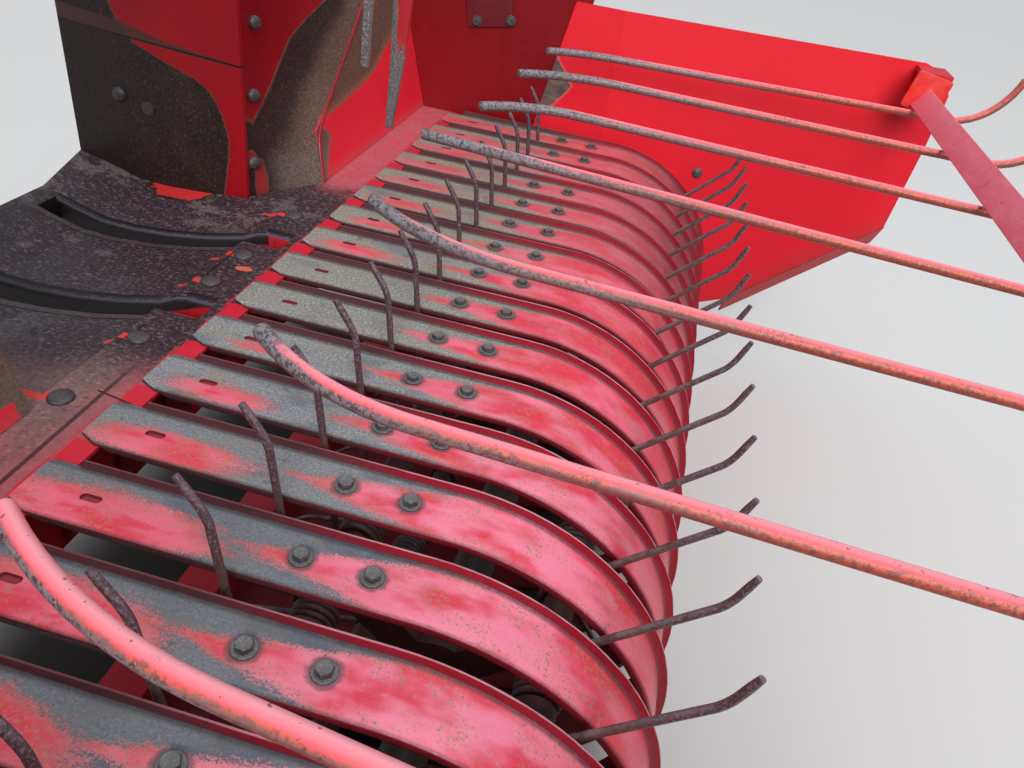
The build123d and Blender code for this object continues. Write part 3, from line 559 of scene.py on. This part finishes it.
def wire_finish():
    """Spring tines: dark rust brown with rubbed purple-grey ends and a painted highlight on their upper sides."""
    f = Finish("tine_wire_rusty")
    fine = f.cloud(2, rough=0.7)
    blotch = f.cloud(12, (1, 1, 2), 3, shift=3)
    reach = (f.x - NOSE_X).from_zero(f.z - NOSE_Z)
    end = (reach + blotch * 14).step(215, 262)
    colour = f.layers("60423e", (blotch, 0, 0.8, 0.6, "84483e"), (fine, -0.1, -0.6, 0.75, "2a1e20"),
        (fine, 0.1, 0.6, 0.45, "8e6c64"), (end * 0.6, "5c4e56"), (end * fine.step(0, 0.5) * 0.7, "9e9098"),
        (end * fine.step(-0.1, -0.6) * 0.7, "30262c"),
        # pale on the upper sides: painted highlight
        (f.up.step(0.1, 0.8) * blotch.step(-0.5, 0.3) * 0.5, "96888e"), (reach, 170, 150, 0.6, "502426"))
    return f.done(colour, 0.5 - end * 0.08 + fine * 0.06, fine * 0.14 + blotch * 0.05, metal=end * 0.3)


def rust_finish(name, base, second, dark, gloss=0.6):
    """Dull steel inside the reel: dark, dusty, with rust blooms."""
    f = Finish(name)
    bloom = f.cloud(18, detail=4, rough=0.65)
    fine = f.cloud(2.5, shift=4)
    colour = f.layers(
        base, (bloom, 0, 0.9, 0.7, second), (bloom, -0.2, -1, 0.7, dark), (fine, 0.4, 1.2, 0.3, "806c5c"))
    return f.done(colour, gloss + fine * 0.06, fine * 0.06 + bloom * 0.1)


def arm_finish():
    """Arms under the bands: red paint, dusty on top, darkened to black further in as painted shade under the bands."""
    f = Finish("band_arm_red")
    bloom = f.cloud(20, detail=4)
    # darker lower down and further forward under the bands: painted shade
    inside = (f.z + bloom * 6).step(-9, -30)
    colour = f.layers(
        "be1628", (bloom, 0, 0.8, 0.5, "a41a28"), (f.up, 0.5, 0.9, 0.4, "a84448"), (f.x, -196, -60, 0.6, "682028"),
        (inside * 0.5, "4a181e"))
    return f.done(colour, 0.55 + bloom * 0.05, bloom * 0.06)


def bolt_finish():
    """Bolt heads and washers: dark grey-brown steel, lighter where rubbed, with a painted highlight on top and painted
    shade on the sides.
    """
    f = Finish("bolt_head_steel")
    fine = f.cloud(1.6, rough=0.7)
    bloom = f.cloud(7, shift=3)
    on_floor = f.x.step(-200, -210)
    # lighter on the tops and darker on the sides by facing: painted highlight and painted shade
    colour = f.layers(
        "5c5b5b", (bloom, 0, 0.8, 0.6, "747474"), (fine, 0, -0.5, 0.75, "2c2a2c"), (f.up, 0.7, 0.98, 0.4, "848484"),
        (fine, 0.2, 0.8, 0.6, "bab8b6"), (f.up, 0.6, 0.1, 0.45, "363232"), (bloom, 0.2, 0.8, 0.45, "806054"),
        (on_floor * 0.75, f.speckled(fine, "342a2e", "564a50", -0.3, 0.7)))
    return f.done(colour, 0.42 + fine * 0.07, fine * 0.1 + bloom * 0.08, metal=0.2)


def finger_finish():
    """Feeder fingers: rubbed bare on the rear edge, red kept on the upper front."""
    f = Finish("feeder_finger_worn")
    fine = f.cloud(1.8, rough=0.7)
    bloom = f.cloud(16, (1, 1, 2.2), 4, shift=3)
    spine = f.z.bend([(140, -102), (220, -98), (300, -99), (350, -110), (400, -118), (440, -130)])
    kept = ((f.x - spine) + bloom * 4 + 1).step(-1.5, 1.5) * (f.z + bloom * 12).step(214, 238)
    steel = f.layers(
        "7e7878", (bloom, 0, 0.8, 0.5, "625e60"), (fine, 0, -0.5, 0.8, "3c383c"), (fine, 0.15, 0.6, 0.75, "bab6b4"),
        (f.z, 190, 150, 0.3, "8a7066"))
    colour = f.layers(steel, (kept * f.y.step(30, 50), "c82c36"), (f.x.step(-150, -240), "b41424"))
    return f.done(colour, 0.48 + fine * 0.08, fine * 0.08 + bloom * 0.05, metal=0.2)


FINISH = {"band_paint": band_paint(), "side_sheet": side_sheet_paint(),
    # The side walls' dark red and the bracket's dark maroon are the machine's red darkened as painted shade.
    "wall_red": sheet_paint("side_wall_red", "86000c", "700008", "a6222c"),
    "frame_red": sheet_paint("frame_red", "ce222e", "b41222", "de5c5e", 0.25, 0.5),
    "bracket": sheet_paint("bracket_maroon", "6c1824", "54101c", "964248", 0.1),
    "hem_red": sheet_paint("hem_bright_red", "b0081a", "960614", "ce3c42"),
    "tongue": sheet_paint("slot_tongue_dusty", "9e3842", "762430", "ba7070", 0.25, 0.6), "throat": throat_finish(),
    "funnel": funnel_finish(), "back_wall": back_wall_finish(), "floor": floor_finish(), "slot_edge": lip_steel(),
    "rod": rod_finish(), "bar": bar_finish(), "wire": wire_finish(),
    "reel": rust_finish("reel_dark_rust", "4e2a28", "6c362e", "2a1c1c"),
    "clamp": rust_finish("tine_clamp_rust", "56302e", "703c34", "2e1e1e"),
    "shaft": rust_finish("shaft_steel", "3e2c2a", "583630", "221a1a", 0.55), "arms": arm_finish(),
    "bolt": bolt_finish(), "finger": finger_finish()}

# CAD nodes by finish; a number at the end of a node's name is left out
NODES_OF = {"arms": "band_arms", "floor": "floor_strip feed_pan", "side_sheet": "side_sheet_left side_sheet_right",
    "frame_red": "rear_beam mount_flanges bottom_rail end_plate_left end_plate_right guard_pivot_left guard_pivot_right",
    "wall_red": "side_wall_left side_wall_right", "bracket": "wall_bracket",
    "back_wall": "back_wall_left back_wall_right", "funnel": "funnel_left funnel_right",
    "throat": "throat_plate_left throat_plate_right", "bar": "guard_bar", "rod": "guard_rods",
    "shaft": "reel_shaft reel_sprocket feeder_shaft", "finger": "feeder_finger", "band_paint": "band",
    "reel": "spider tine_bar", "wire": "tines"}
FINISH_OF = {node: finish for finish, nodes in NODES_OF.items() for node in nodes.split()}
for node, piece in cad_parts.items():
    piece.data.materials.clear()
    piece.data.materials.append(FINISH[FINISH_OF[node.rstrip("0123456789").rstrip("_")]])


# ---- mesh helpers
def as_mesh(shape, name):
    """The shape as a mesh of its own; the shape is used up."""
    mesh = bpy.data.meshes.new(name)
    shape.to_mesh(mesh)
    shape.free()
    return mesh


def show(name, shape, body, finish, slot, *nodes, smooth=40):
    """Puts a finished shape or mesh into the scene as a piece that rides on a body."""
    mesh = as_mesh(shape, name) if isinstance(shape, bmesh.types.BMesh) else shape
    mesh.name = name
    mesh.materials.clear()
    mesh.materials.append(FINISH[finish])
    mesh.shade_smooth()
    mesh.set_sharp_from_angle(angle=radians(smooth))
    piece = linked(name, mesh)
    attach(piece, body)
    if nodes:
        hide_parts(*nodes)


def facing_out(shape):
    bmesh.ops.recalc_face_normals(shape, faces=shape.faces)
    return shape


def tidy(shape):
    bmesh.ops.remove_doubles(shape, verts=shape.verts, dist=1e-5)
    return facing_out(shape)


def up_to(direction):
    """The turn that brings the z axis to a direction."""
    return Vector((0, 0, 1)).rotation_difference(Vector(direction)).to_matrix()


def add_turned(shape, mesh, place, direction):
    """Adds a mesh at a place, with its z axis along a direction."""
    mesh.transform(Matrix.Translation(place) @ up_to(direction).to_4x4())
    shape.from_mesh(mesh)


def evaluated(host):
    """The mesh that an object's modifiers make."""
    return bpy.data.meshes.new_from_object(host.evaluated_get(bpy.context.evaluated_depsgraph_get()))


def loft(shape, rings, capped=True):
    """Joins rings of points, all of one count, into a skin."""
    made = [[shape.verts.new(p) for p in ring] for ring in rings]
    for one, two in zip(made, made[1:]):
        for i in range(len(one)):
            j = (i + 1) % len(one)
            shape.faces.new((one[i], one[j], two[j], two[i]))
    if capped:
        shape.faces.new(made[0])
        shape.faces.new(made[-1][::-1])
    return shape


def circle(count):
    """Angles at even steps round a circle."""
    return [2 * pi * k / count for k in range(count)]


def ray(degrees):
    """Direction in the side view, by its angle from forward to up."""
    return Vector((cos(radians(degrees)), 0, sin(radians(degrees))))


def tube(shape, path, radii, sides):
    """A round skin along a path of points, with a radius for each point."""
    rings = []
    side = None
    for i, p in enumerate(path):
        run = (path[min(i + 1, len(path) - 1)] - path[max(i - 1, 0)]).normalized()
        if side is None:
            side = run.orthogonal().normalized()
        side = (side - run * side.dot(run)).normalized()
        up = run.cross(side)
        rings.append([p + (side * cos(a) + up * sin(a)) * radii[i] for a in circle(sides)])
    loft(shape, rings)


# ---- stripper bands
def band_ring(length_along, lip, flange, cut_near, cut_far):
    """One section through a band: thin face, far lip turned out, near flange turned in, soft bends."""
    low, high = -BAND_HALF + cut_near, BAND_HALF - cut_far
    up, inside = LIP_HIGH * lip, -BAND_THICK
    deep = inside - FLANGE_DEEP * flange
    outline = [(high, up - 0.4 * lip), (high - 0.4, up), (high - 1.1, up), (high - 1.5, up - 0.4 * lip),
        (high - 1.6, 1.8 * lip), (high - 2.2, 0.5 * lip), (high - 3.8, 0), (8, 0), (-8, 0), (low + 3.2, 0),
        (low + 1.2, -0.45), (low + 0.25, -1.5), (low, -2.6), (low, deep + 0.4), (low + 0.4, deep),
        (low + 1.6, deep), (low + 2, deep + 0.3 * flange), (low + 2, inside - 0.9 * flange),
        (low + 2.6, inside - 0.2 * flange), (low + 4.6, inside), (-8, inside), (8, inside), (high - 3.2, inside),
        (high - 1.2, -2.6), (high - 0.25, -1.4), (high, 0)]
    past = length_along - NOSE_X
    turn = min(max(past / NOSE_R, 0), pi)
    straight = past - turn * NOSE_R
    return [at(NOSE_X + (NOSE_R + n) * sin(turn) + straight * cos(turn), v, NOSE_Z + (NOSE_R + n) * cos(turn))
        for v, n in outline]


def share_of(distance, length):
    """0 to 1 over a length, held at both ends."""
    return min(max(distance / length, 0), 1)


def band_mesh():
    """A whole band: cut tip, top, nose and lower leg, with the oblong slot near the tip."""
    low_end = NOSE_X + pi * NOSE_R + LOWER_LEG
    places = [
        -205, -201, -195, -190, -184.5, -182.6, -181, -180.4, -178, -176, -165, -155, -145, -110, -60, 0, 50, NOSE_X]
    places += [NOSE_X + pi * NOSE_R * i / 44 for i in range(1, 45)]
    places += [low_end - back for back in (131, 52, 46, 26, 20, 1)]
    shape = loft(bmesh.new(),
        [band_ring(s, share_of(s + 181, 5) * share_of(low_end - 20 - s, 6),
                share_of(s + 184.5, 6.5) * share_of(low_end - 45 - s, 7), 8 * share_of(-190 - s, 15),
                4 * share_of(-201 - s, 4))
            for s in places])
    ends = [(cos(a) * SLOT_R, sin(a) * SLOT_R) for a in (pi * i / 16 for i in range(17))]
    outline = [(SLOT_X + SLOT_HALF + v, u) for u, v in ends] + [(SLOT_X - SLOT_HALF - v, -u) for u, v in ends]
    cutter = loft(bmesh.new(), [[at(u, v, z) for u, v in outline] for z in (-6, 3)])
    band, tool = linked("band", as_mesh(tidy(shape), "band")), linked("slot", as_mesh(tidy(cutter), "slot"))
    cut = band.modifiers.new("slot", "BOOLEAN")
    cut.object, cut.operation, cut.solver = tool, "DIFFERENCE", "EXACT"
    done = evaluated(band)
    for helper in (band, tool):
        bpy.data.objects.remove(helper)
    return done


one_band = band_mesh()
tongues = bmesh.new()
for i in range(BANDS):
    y = (i - BANDS // 2) * PITCH
    copy = one_band.copy()
    copy.transform(Matrix.Translation((0, y / 1000, 0)))
    show("band_face_%02d" % (i + 1), copy, "frame", "band_paint", "band_paint", "band_%02d" % (i + 1), smooth=38)
    loft(tongues,
        [[at(SLOT_X + u, y + v, z) for u, v in ((-17, -9), (17, -9), (17, 9), (-17, 9))] for z in (-5, -3.02)])
show("slot_tongues", tongues, "frame", "tongue", "red_paint", smooth=30)


# ---- geometry nodes
class Tree(Nodes):
    """A Geometry Nodes tree with named inputs for its sizes."""

    def __init__(self, name, sizes):
        super().__init__(bpy.data.node_groups.new(name, "GeometryNodeTree"))
        face = self.tree.interface
        face.new_socket("Geometry", in_out="INPUT", socket_type="NodeSocketGeometry")
        for label, value in sizes.items():
            kind = "NodeSocketInt" if isinstance(value, int) else "NodeSocketFloat"
            face.new_socket(label, in_out="INPUT", socket_type=kind).default_value = value
        face.new_socket("Geometry", in_out="OUTPUT", socket_type="NodeSocketGeometry")
        self.given = self.tree.nodes.new("NodeGroupInput").outputs

    def repeat(self, points, start, material, **more):
        """Runs the tree on a mesh: a copy on each point, as one plain mesh."""
        spread = self.add(
            "GeometryNodeInstanceOnPoints", None, {"Points": points, "Instance": self.given[0], **more})
        real = self.add("GeometryNodeRealizeInstances", None, {0: spread.outputs[0]})
        painted = self.add("GeometryNodeSetMaterial", None, {0: real.outputs[0], "Material": material})
        self.add("NodeGroupOutput", None, {0: painted.outputs[0]})
        host = linked(self.tree.name, start)
        host.modifiers.new("grow", "NODES").node_group = self.tree
        mesh = evaluated(host)
        bpy.data.objects.remove(host)
        return mesh


def hex_bolt(across_flats, height, washer, thick):
    """Hex head with a chamfered top on a round washer, at the origin, in metres."""
    corner, top = across_flats / sqrt(3), thick + height

    def ring(radius, z, roundness=1):
        """Between a hexagon and a circle."""
        points = []
        for a in circle(30):
            r = radius * ((1 - roundness) * cos(pi / 6) / cos(a % (pi / 3) - pi / 6) + roundness)
            points.append(Vector((r * cos(a), r * sin(a), z)) / 1000)
        return points
    shape = loft(bmesh.new(),
        [ring(washer, 0), ring(washer, thick - 0.4), ring(washer - 0.5, thick), ring(corner * 0.5, thick)])
    loft(shape,
        [ring(corner, thick - 0.2, 0), ring(corner, top - 1.1, 0), ring(corner * 0.93, top - 0.35, 0.45),
            ring(corner * 0.82, top), ring(corner * 0.6, top - 0.25)])
    return as_mesh(facing_out(shape), "hex_bolt")


def bolt_rows():
    """Two rows of bolts along the band tops, each head turned by chance."""
    tree = Tree("band_bolt_rows",
        {"Pitch": PITCH / 1000, "Row gap": BOLT_GAP / 1000, "Rows across": 2, "Bands": BANDS, "Seed": 7})
    given = tree.given
    far = tree.add("ShaderNodeMath", {"operation": "MULTIPLY"}, {0: given["Pitch"], 1: BANDS - 1})
    grid = tree.add("GeometryNodeMeshGrid", None,
        {"Size X": given["Row gap"], "Size Y": far.outputs[0], "Vertices X": given["Rows across"],
            "Vertices Y": given["Bands"]})
    moved = tree.add("GeometryNodeTransform", None, {0: grid.outputs[0], "Translation": at(BOLT_GAP / 2, 0, 0)})
    turn = tree.add("FunctionNodeRandomValue", {"data_type": "FLOAT_VECTOR"},
        {0: (-0.02, -0.02, 0.0), 1: (0.02, 0.02, 1.05), "Seed": given["Seed"]})
    return tree.repeat(moved.outputs[0], hex_bolt(10.4, 4.5, 8.4, 1.5), FINISH["bolt"], Rotation=turn.outputs[0])


show("band_bolts", bolt_rows(), "frame", "bolt", "dark_steel", smooth=32)


# ---- spring tines
BAR_ANGLE = (45.0, 135.0, 225.0, 315.0)
TINE_ANGLE = (50.5, 103.0, 200.0, 312.0)
BAR_CIRCLE_R, CLAMP_R = 127.0, 15.5
WIRE_R, COIL_R, COIL_TURNS, COIL_STEPS = 3.0, 16.4, 4.4, 20
TINE_REACH, TIP_LEAN, BRIDGE_HALF = 165.0, 20, 10.5


def tine_path(lean, hand):
    """Half of a double tine, about the bar's centre, in mm: tip, bend, prong, coil round the bar and bridge."""
    out, lead, tip = ray(lean), ray(lean + 90), ray(lean + TIP_LEAN)
    outer = Vector((0, hand * PITCH / 2, 0))
    corner = outer + out * TINE_REACH
    path = [corner + tip * 30, corner + tip * 20, corner + tip * 11]
    for t in (k / 6 for k in range(7)):
        path.append((corner + tip * 9) * (1 - t) ** 2 + corner * 2 * t * (1 - t) + (corner - out * 9) * t ** 2)
    path += [outer + out * reach + lead * COIL_R * (156 - reach) / 146 for reach in (145, 115, 85, 55, 30, 12)]
    for k in range(int(COIL_TURNS * COIL_STEPS) + 1):
        a = 2 * pi * k / COIL_STEPS
        y = hand * (PITCH / 2 - (PITCH / 2 - BRIDGE_HALF) * k / (COIL_TURNS * COIL_STEPS))
        path.append((lead * cos(a) - out * sin(a)) * COIL_R + Vector((0, y, 0)))
    return path


def tine_mesh(lean):
    shape = bmesh.new()
    for hand in (1, -1):
        path = [p / 1000 for p in tine_path(lean, hand)]
        tube(shape, path, [WIRE_R * 0.82 / 1000] + [WIRE_R / 1000] * (len(path) - 1), 8)
    return as_mesh(facing_out(shape), "tine")


def clamp_mesh(lean):
    """Split ring that holds a tine to the bar, with its bolt head."""
    outline = [(-9, 13.05), (-9, 16.3), (-8.2, 17), (8.2, 17), (9, 16.3), (9, 13.05)]
    rings = [[Vector((r * cos(a), y, r * sin(a))) / 1000 for y, r in outline] for a in circle(32) + [0]]
    shape = tidy(loft(bmesh.new(), rings, capped=False))
    away = ray(lean + 180)
    add_turned(shape, hex_bolt(10.0, 5.0, 6.5, 1.0), away * CLAMP_R / 1000, away)
    return as_mesh(shape, "clamp")


def along_bar(name, bar, shape, finish):
    """Repeats a tine or clamp at even steps along its bar."""
    tree = Tree(name, {"Pitch": 2 * PITCH / 1000, "Count": 9})
    step = tree.add("ShaderNodeCombineXYZ", None, {"Y": tree.given["Pitch"]})
    line = tree.add("GeometryNodeMeshLine", {"mode": "OFFSET"},
        {"Count": tree.given["Count"], "Offset": step.outputs[0], "Start Location": at(bar.x, -8 * PITCH, bar.z)})
    return tree.repeat(line.outputs[0], shape, FINISH[finish])


for number, place, lean in zip((1, 2, 3, 4), BAR_ANGLE, TINE_ANGLE):
    bar = Vector((NOSE_X, 0, NOSE_Z)) + ray(place) * BAR_CIRCLE_R
    body = "tine_bar_%d" % number
    show("spring_tines_%d" % number, along_bar("tines_%d_along_bar" % number, bar, tine_mesh(lean), "wire"), body,
        "wire", "tine_wire", "tines_%d" % number, smooth=50)
    show("tine_clamps_%d" % number, along_bar("clamps_%d_along_bar" % number, bar, clamp_mesh(lean), "clamp"), body,
        "clamp", "dark_steel", smooth=35)


# ---- wind guard rods
# x and y of the tip, x and y of the bend, y at the bar
RODS = [(-36, 602, 60, 650, 752), (-43, 441, 90, 500, 538), (-47, 262, 65, 315, 323), (-72, 130, 75, 123, 108),
    (-54, -50, 85, -105, -108), (-40, -266, 75, -313, -323), (-68, -439, 60, -489, -538),
    (-36, -602, 60, -650, -752)]
ROD_SLOPE, ROD_BAR_X, ROD_BAR_Z, ROD_FRONT_X, ROD_R = -0.0288, 530.9, 133.3, 585.0, 5.5
ROD_NOSE = (95, 78)  # how far the front end runs on, and how far up it turns
ROD_TIP = [(0, 0.45), (0.5, 0.8), (1.3, 0.95), (2.6, 1)]  # way in from the end, and share of the radius there


def arc_from(start, heading, end, steps):
    """Points of the arc that leaves start along heading and reaches end."""
    chord = end - start
    normal = heading.cross(chord)
    if normal.length < 1e-4:
        return [start + chord * k / steps for k in range(steps + 1)]
    normal.normalize()
    inward = normal.cross(heading).normalized()
    radius = chord.length_squared / (2 * chord.dot(inward))
    centre = start + inward * radius
    spread = 2 * heading.angle(chord)
    return [centre + Matrix.Rotation(spread * k / steps, 3, normal) @ (start - centre) for k in range(steps + 1)]


def guard_rods():
    """Each rod: rounded tip, bend at the throat, straight run, and the front end turned up."""
    shape = bmesh.new()
    for tip_x, tip_y, bend_x, bend_y, bar_y in RODS:
        ends = ((tip_x, tip_y), (bend_x, bend_y))
        tip, bend = (Vector((x, y, ROD_BAR_Z + ROD_SLOPE * (x - ROD_BAR_X))) for x, y in ends)
        bar = Vector((ROD_BAR_X, bar_y, ROD_BAR_Z))
        run = (bar - bend).normalized()
        front = bar + run * (ROD_FRONT_X - ROD_BAR_X)
        nose = front + run * ROD_NOSE[0] + Vector((0, 0, ROD_NOSE[1]))
        path = arc_from(bend, -run, tip, 12)[::-1] + [bend + (front - bend) * k / 10 for k in range(1, 11)]
        path += arc_from(front, run, nose, 10)[1:]
        first, last = (path[1] - path[0]).normalized(), (path[-2] - path[-1]).normalized()
        path[-1:] = [path[-1] + last * d for d, share in ROD_TIP[::-1]]
        path[:1] = [path[0] + first * d for d, share in ROD_TIP]
        radii = [ROD_R] * len(path)
        for k, (d, share) in enumerate(ROD_TIP):
            radii[k] = radii[-1 - k] = ROD_R * share
        tube(shape, [at(*p) for p in path], [r / 1000 for r in radii], 18)
    return facing_out(shape)


show("wind_guard_rods", guard_rods(), "wind_guard", "rod", "guard_paint", "guard_rods", smooth=60)


# ---- domed bolts
def dome(shape, place, normal, radius, height, rim=1.2):
    """A domed bolt head standing on a sheet."""
    turn, rise, rings = up_to(normal), height - rim, []
    profile = [(1, -0.5), (1, rim), (0.96, rim + rise * 0.28), (0.84, rim + rise * 0.56), (0.64, rim + rise * 0.79),
        (0.38, rim + rise * 0.94), (0.12, height)]
    for share, z in profile:
        rings.append([
            at(*place) + turn @ Vector((radius * share * cos(a), radius * share * sin(a), z)) / 1000 for a in circle(20)])
    loft(shape, rings)


domes = bmesh.new()
dome(domes, (-476, 214, 90), (0, -1, 0), 9.0, 5.5, 0.8)
dome(domes, (-440, 214, 80), (0, -1, 0), 8.0, 1.4, 0.8)
for place in ((-320.6, 258.6, 191), (-315.6, 239.6, 114), (-313.2, 228.8, 36)):
    dome(domes, place, (0.78, -0.6, 0.2), 8.0, 5.5)
for x, y in FLOOR_BOLTS:
    dome(domes, (x, y, -3), (0, 0, 1), 10.5, 4.4, 1.0)
for place in ((-476, -212, 90), (-440, -212, 80)):
    dome(domes, place, (0, 1, 0), 9.0, 5.0)
for hand in (1, -1):
    dome(domes, (233, hand * 757, -31), (0.25, -hand, 0), 9.0, 5.5)
show("carriage_bolts", domes, "frame", "bolt", "dark_steel", smooth=50)


# ---- slot edges, funnel sheet and its seam
PAN = [(-262, -6), (-275, -14), (-325, -26), (-375, -34), (-425, -38), (-465, -37), (-500, -28), (-543, -14)]
STRIP_Z, SLOT_FRONT, SLOT_REAR, SLOT_WIDE = -3.0, -219.5, -523.0, 34.0
EDGE_OUTLINE = [
    (9, 0.5), (5, 0.6), (1.5, 0.2), (-1, -1.4), (-2.4, -4), (-2.8, -8), (-2.8, -34), (-0.6, -34), (-0.6, -4.5),
    (1, -2), (5, -1.2), (9, -1.2)]
END_OUTLINE = [(-4, 0.4), (0.8, -1), (1.6, -4), (1.6, -30), (0, -30), (-4, -0.8)]


def floor_height(x):
    """Height of the floor strip, and behind it of the feed pan."""
    if x >= PAN[0][0]:
        return STRIP_Z * (1 + share_of(-250 - x, 12))
    (ax, az), (bx, bz) = next(pair for pair in zip(PAN, PAN[1:]) if x >= pair[1][0])
    return az + (bz - az) * (x - ax) / (bx - ax)


def slot_edges():
    """The floor turned down along the far side and the rear end of each finger slot."""
    shape = bmesh.new()
    for far_y in (135, -30):
        stations = [SLOT_FRONT + (SLOT_REAR - SLOT_FRONT) * k / 31 for k in range(32)]
        loft(shape, [[at(x, far_y + v, floor_height(x) + n) for v, n in EDGE_OUTLINE] for x in stations])
        loft(shape,
            [[at(SLOT_REAR + u, y, floor_height(SLOT_REAR) + n) for u, n in END_OUTLINE]
                for y in (far_y - SLOT_WIDE, far_y + 1)])
    return tidy(shape)


show("finger_slot_edges", slot_edges(), "frame", "slot_edge", "worn_floor", smooth=50)


SEAM = [
    (-29, 302), (-6, 303), (0, 305), (20, 308), (40, 313), (52, 319), (60, 327), (68, 338), (78, 354), (95, 385),
    (120, 431), (150, 486), (182, 544), (230, 630), (276, SIDE_Y - 1), (300, SIDE_Y - 1), (330, SIDE_Y - 1)]
FUNNEL_FOOT, FUNNEL_BULGE, SHEET_THICK = (-319.5, 220.2), 0.05, 2.5
BACK_WALL_X, BACK_WALL_LEAN = -255, 0.26


def seam_point(y, z):
    """A point on the back wall, which leans back above the floor."""
    return Vector((BACK_WALL_X - BACK_WALL_LEAN * max(z, 0), y, z))


def funnel_skin():
    """Rolled sheet from the throat plate's upright edge to the seam on the back wall."""
    rings = []
    for z, y in SEAM:
        foot = Vector((*FUNNEL_FOOT, z))
        run = seam_point(y, z) - foot
        back = Vector((-run.y, run.x, 0)).normalized()
        bulge = run.length * FUNNEL_BULGE
        front = [foot + run * (k / 12) + back * (bulge * sin(pi * k / 12)) for k in range(13)]
        rings.append([at(*p) for p in front] + [at(*(p + back * SHEET_THICK)) for p in front[::-1]])
    return tidy(loft(bmesh.new(), rings))


def seam_hem():
    """Bright strip along the seam between the funnel and the back wall."""
    section = [Vector((dx, dy, 0)) for dx, dy in ((0.2, -3.0), (1.6, -2.6), (1.9, 0.6), (-1.5, 1.4))]
    return tidy(loft(bmesh.new(), [[at(*(seam_point(y, z) + d)) for d in section] for z, y in SEAM[2:-2]]))


show("funnel_sheet", funnel_skin(), "frame", "funnel", "red_paint", "funnel_left", smooth=50)
show("funnel_seam_hem", seam_hem(), "frame", "hem_red", "red_paint", smooth=50)


# ---- softened edges on plates
def soften(node, name, body, finish, slot, width):
    """The CAD node's own shape with its edges rounded a little."""
    shape = bmesh.new()
    shape.from_mesh(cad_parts[node].data)
    bmesh.ops.remove_doubles(shape, verts=shape.verts, dist=2e-5)
    bmesh.ops.dissolve_limit(shape, angle_limit=radians(1), verts=shape.verts, edges=shape.edges)
    facing_out(shape)
    sharp = [e for e in shape.edges if len(e.link_faces) == 2 and e.calc_face_angle(0) > radians(35)]
    bmesh.ops.bevel(
        shape, geom=sharp, offset=width / 1000, segments=2, profile=0.7, affect="EDGES", clamp_overlap=True)
    bmesh.ops.triangulate(shape, faces=[f for f in shape.faces if len(f.verts) > 4])
    show(name, shape, body, finish, slot, node)


for i in (1, 2):
    soften("feeder_finger_%d" % i, "feeder_blade_%d" % i, "feeder", "finger", "worn_steel", 1.2)
soften("guard_bar", "guard_bar_rounded", "wind_guard", "bar", "guard_paint", 0.8)
soften("wall_bracket", "slotted_bracket", "frame", "bracket", "red_paint", 0.6)

bracket_bolts = bmesh.new()
for x, z in ((-174, 150), (-119, 160)):
    add_turned(bracket_bolts, hex_bolt(10.0, 4.6, 8.2, 1.6), at(x, SIDE_Y - 1, z), (0, -1, 0))
show("bracket_bolts", bracket_bolts, "frame", "bolt", "dark_steel", smooth=32)


# ---- floor and light
def floor_material():
    """Pale to the eye, but dark for light that bounces, with a painted shadow under the reel so that its inside stays
    dark.
    """
    f = Finish("pale_floor")
    rays = f.add("ShaderNodeLightPath").outputs
    seen = reduce(Value.most, [Value(f, rays["Is %s Ray" % kind]) for kind in ("Camera", "Glossy", "Transmission")])
    # the under zone is a painted shadow on the floor beneath the object
    under = f.x.step(-590, -380) * f.x.step(330, 160) * f.y.step(-790, -600) * f.y.step(790, 600)
    return f.done(f.mix(seen, "5c5650", f.mix(under * 0.96, "d6d4d0", "201916")), 0.9, specular=0.06)


bpy.ops.mesh.primitive_plane_add(size=60, location=(0, 0, CAD_BOX[0][2] - 0.002))
floor = bpy.context.object
floor.data.materials.append(floor_material())

# sky: an even pale ground to the eye, and light that grows upwards on the piece
scene.world = bpy.data.worlds.new("pale_sky")
scene.world.use_nodes = True
sky = Nodes(scene.world.node_tree)
rays = sky.add("ShaderNodeLightPath").outputs
seen = sky.sum("MAXIMUM", rays["Is Camera Ray"], rays["Is Transmission Ray"])
height = sky.split(sky.add("ShaderNodeTexCoord").outputs["Generated"])[2]
glow = sky.value("ShaderNodeMapRange", {"interpolation_type": "SMOOTHSTEP"},
    {"Value": height, "From Min": -0.1, "From Max": 0.9, "To Min": 0.16, "To Max": 0.74})
shade = sky.mix(seen, (0.84, 0.90, 1.0, 1), (0.84, 0.86, 0.88, 1))
power = sky.value("ShaderNodeMix", None, {0: seen, 2: glow, 3: 1.0})
for number, source in enumerate((shade, power.socket)):
    sky.tree.links.new(source, sky.tree.nodes["Background"].inputs[number])


def lamp(name, kind, power, place, target, **shape):
    data = bpy.data.lights.new(name, kind)
    data.energy = power
    for key, setting in shape.items():
        setattr(data, key, setting)
    made = linked(name, data)
    made.location = place
    made.rotation_euler = (Vector(target) - Vector(place)).to_track_quat("-Z", "Y").to_euler()


lamp("sky_soft", "AREA", 34, (1.2, 0.2, 3.6), (0.3, 0, 0), shape="DISK", size=3.0)
lamp("side_soft", "SUN", 2.3, (1.4, -3.2, 2.3), (0.4, 0.1, 0.1), angle=radians(36))
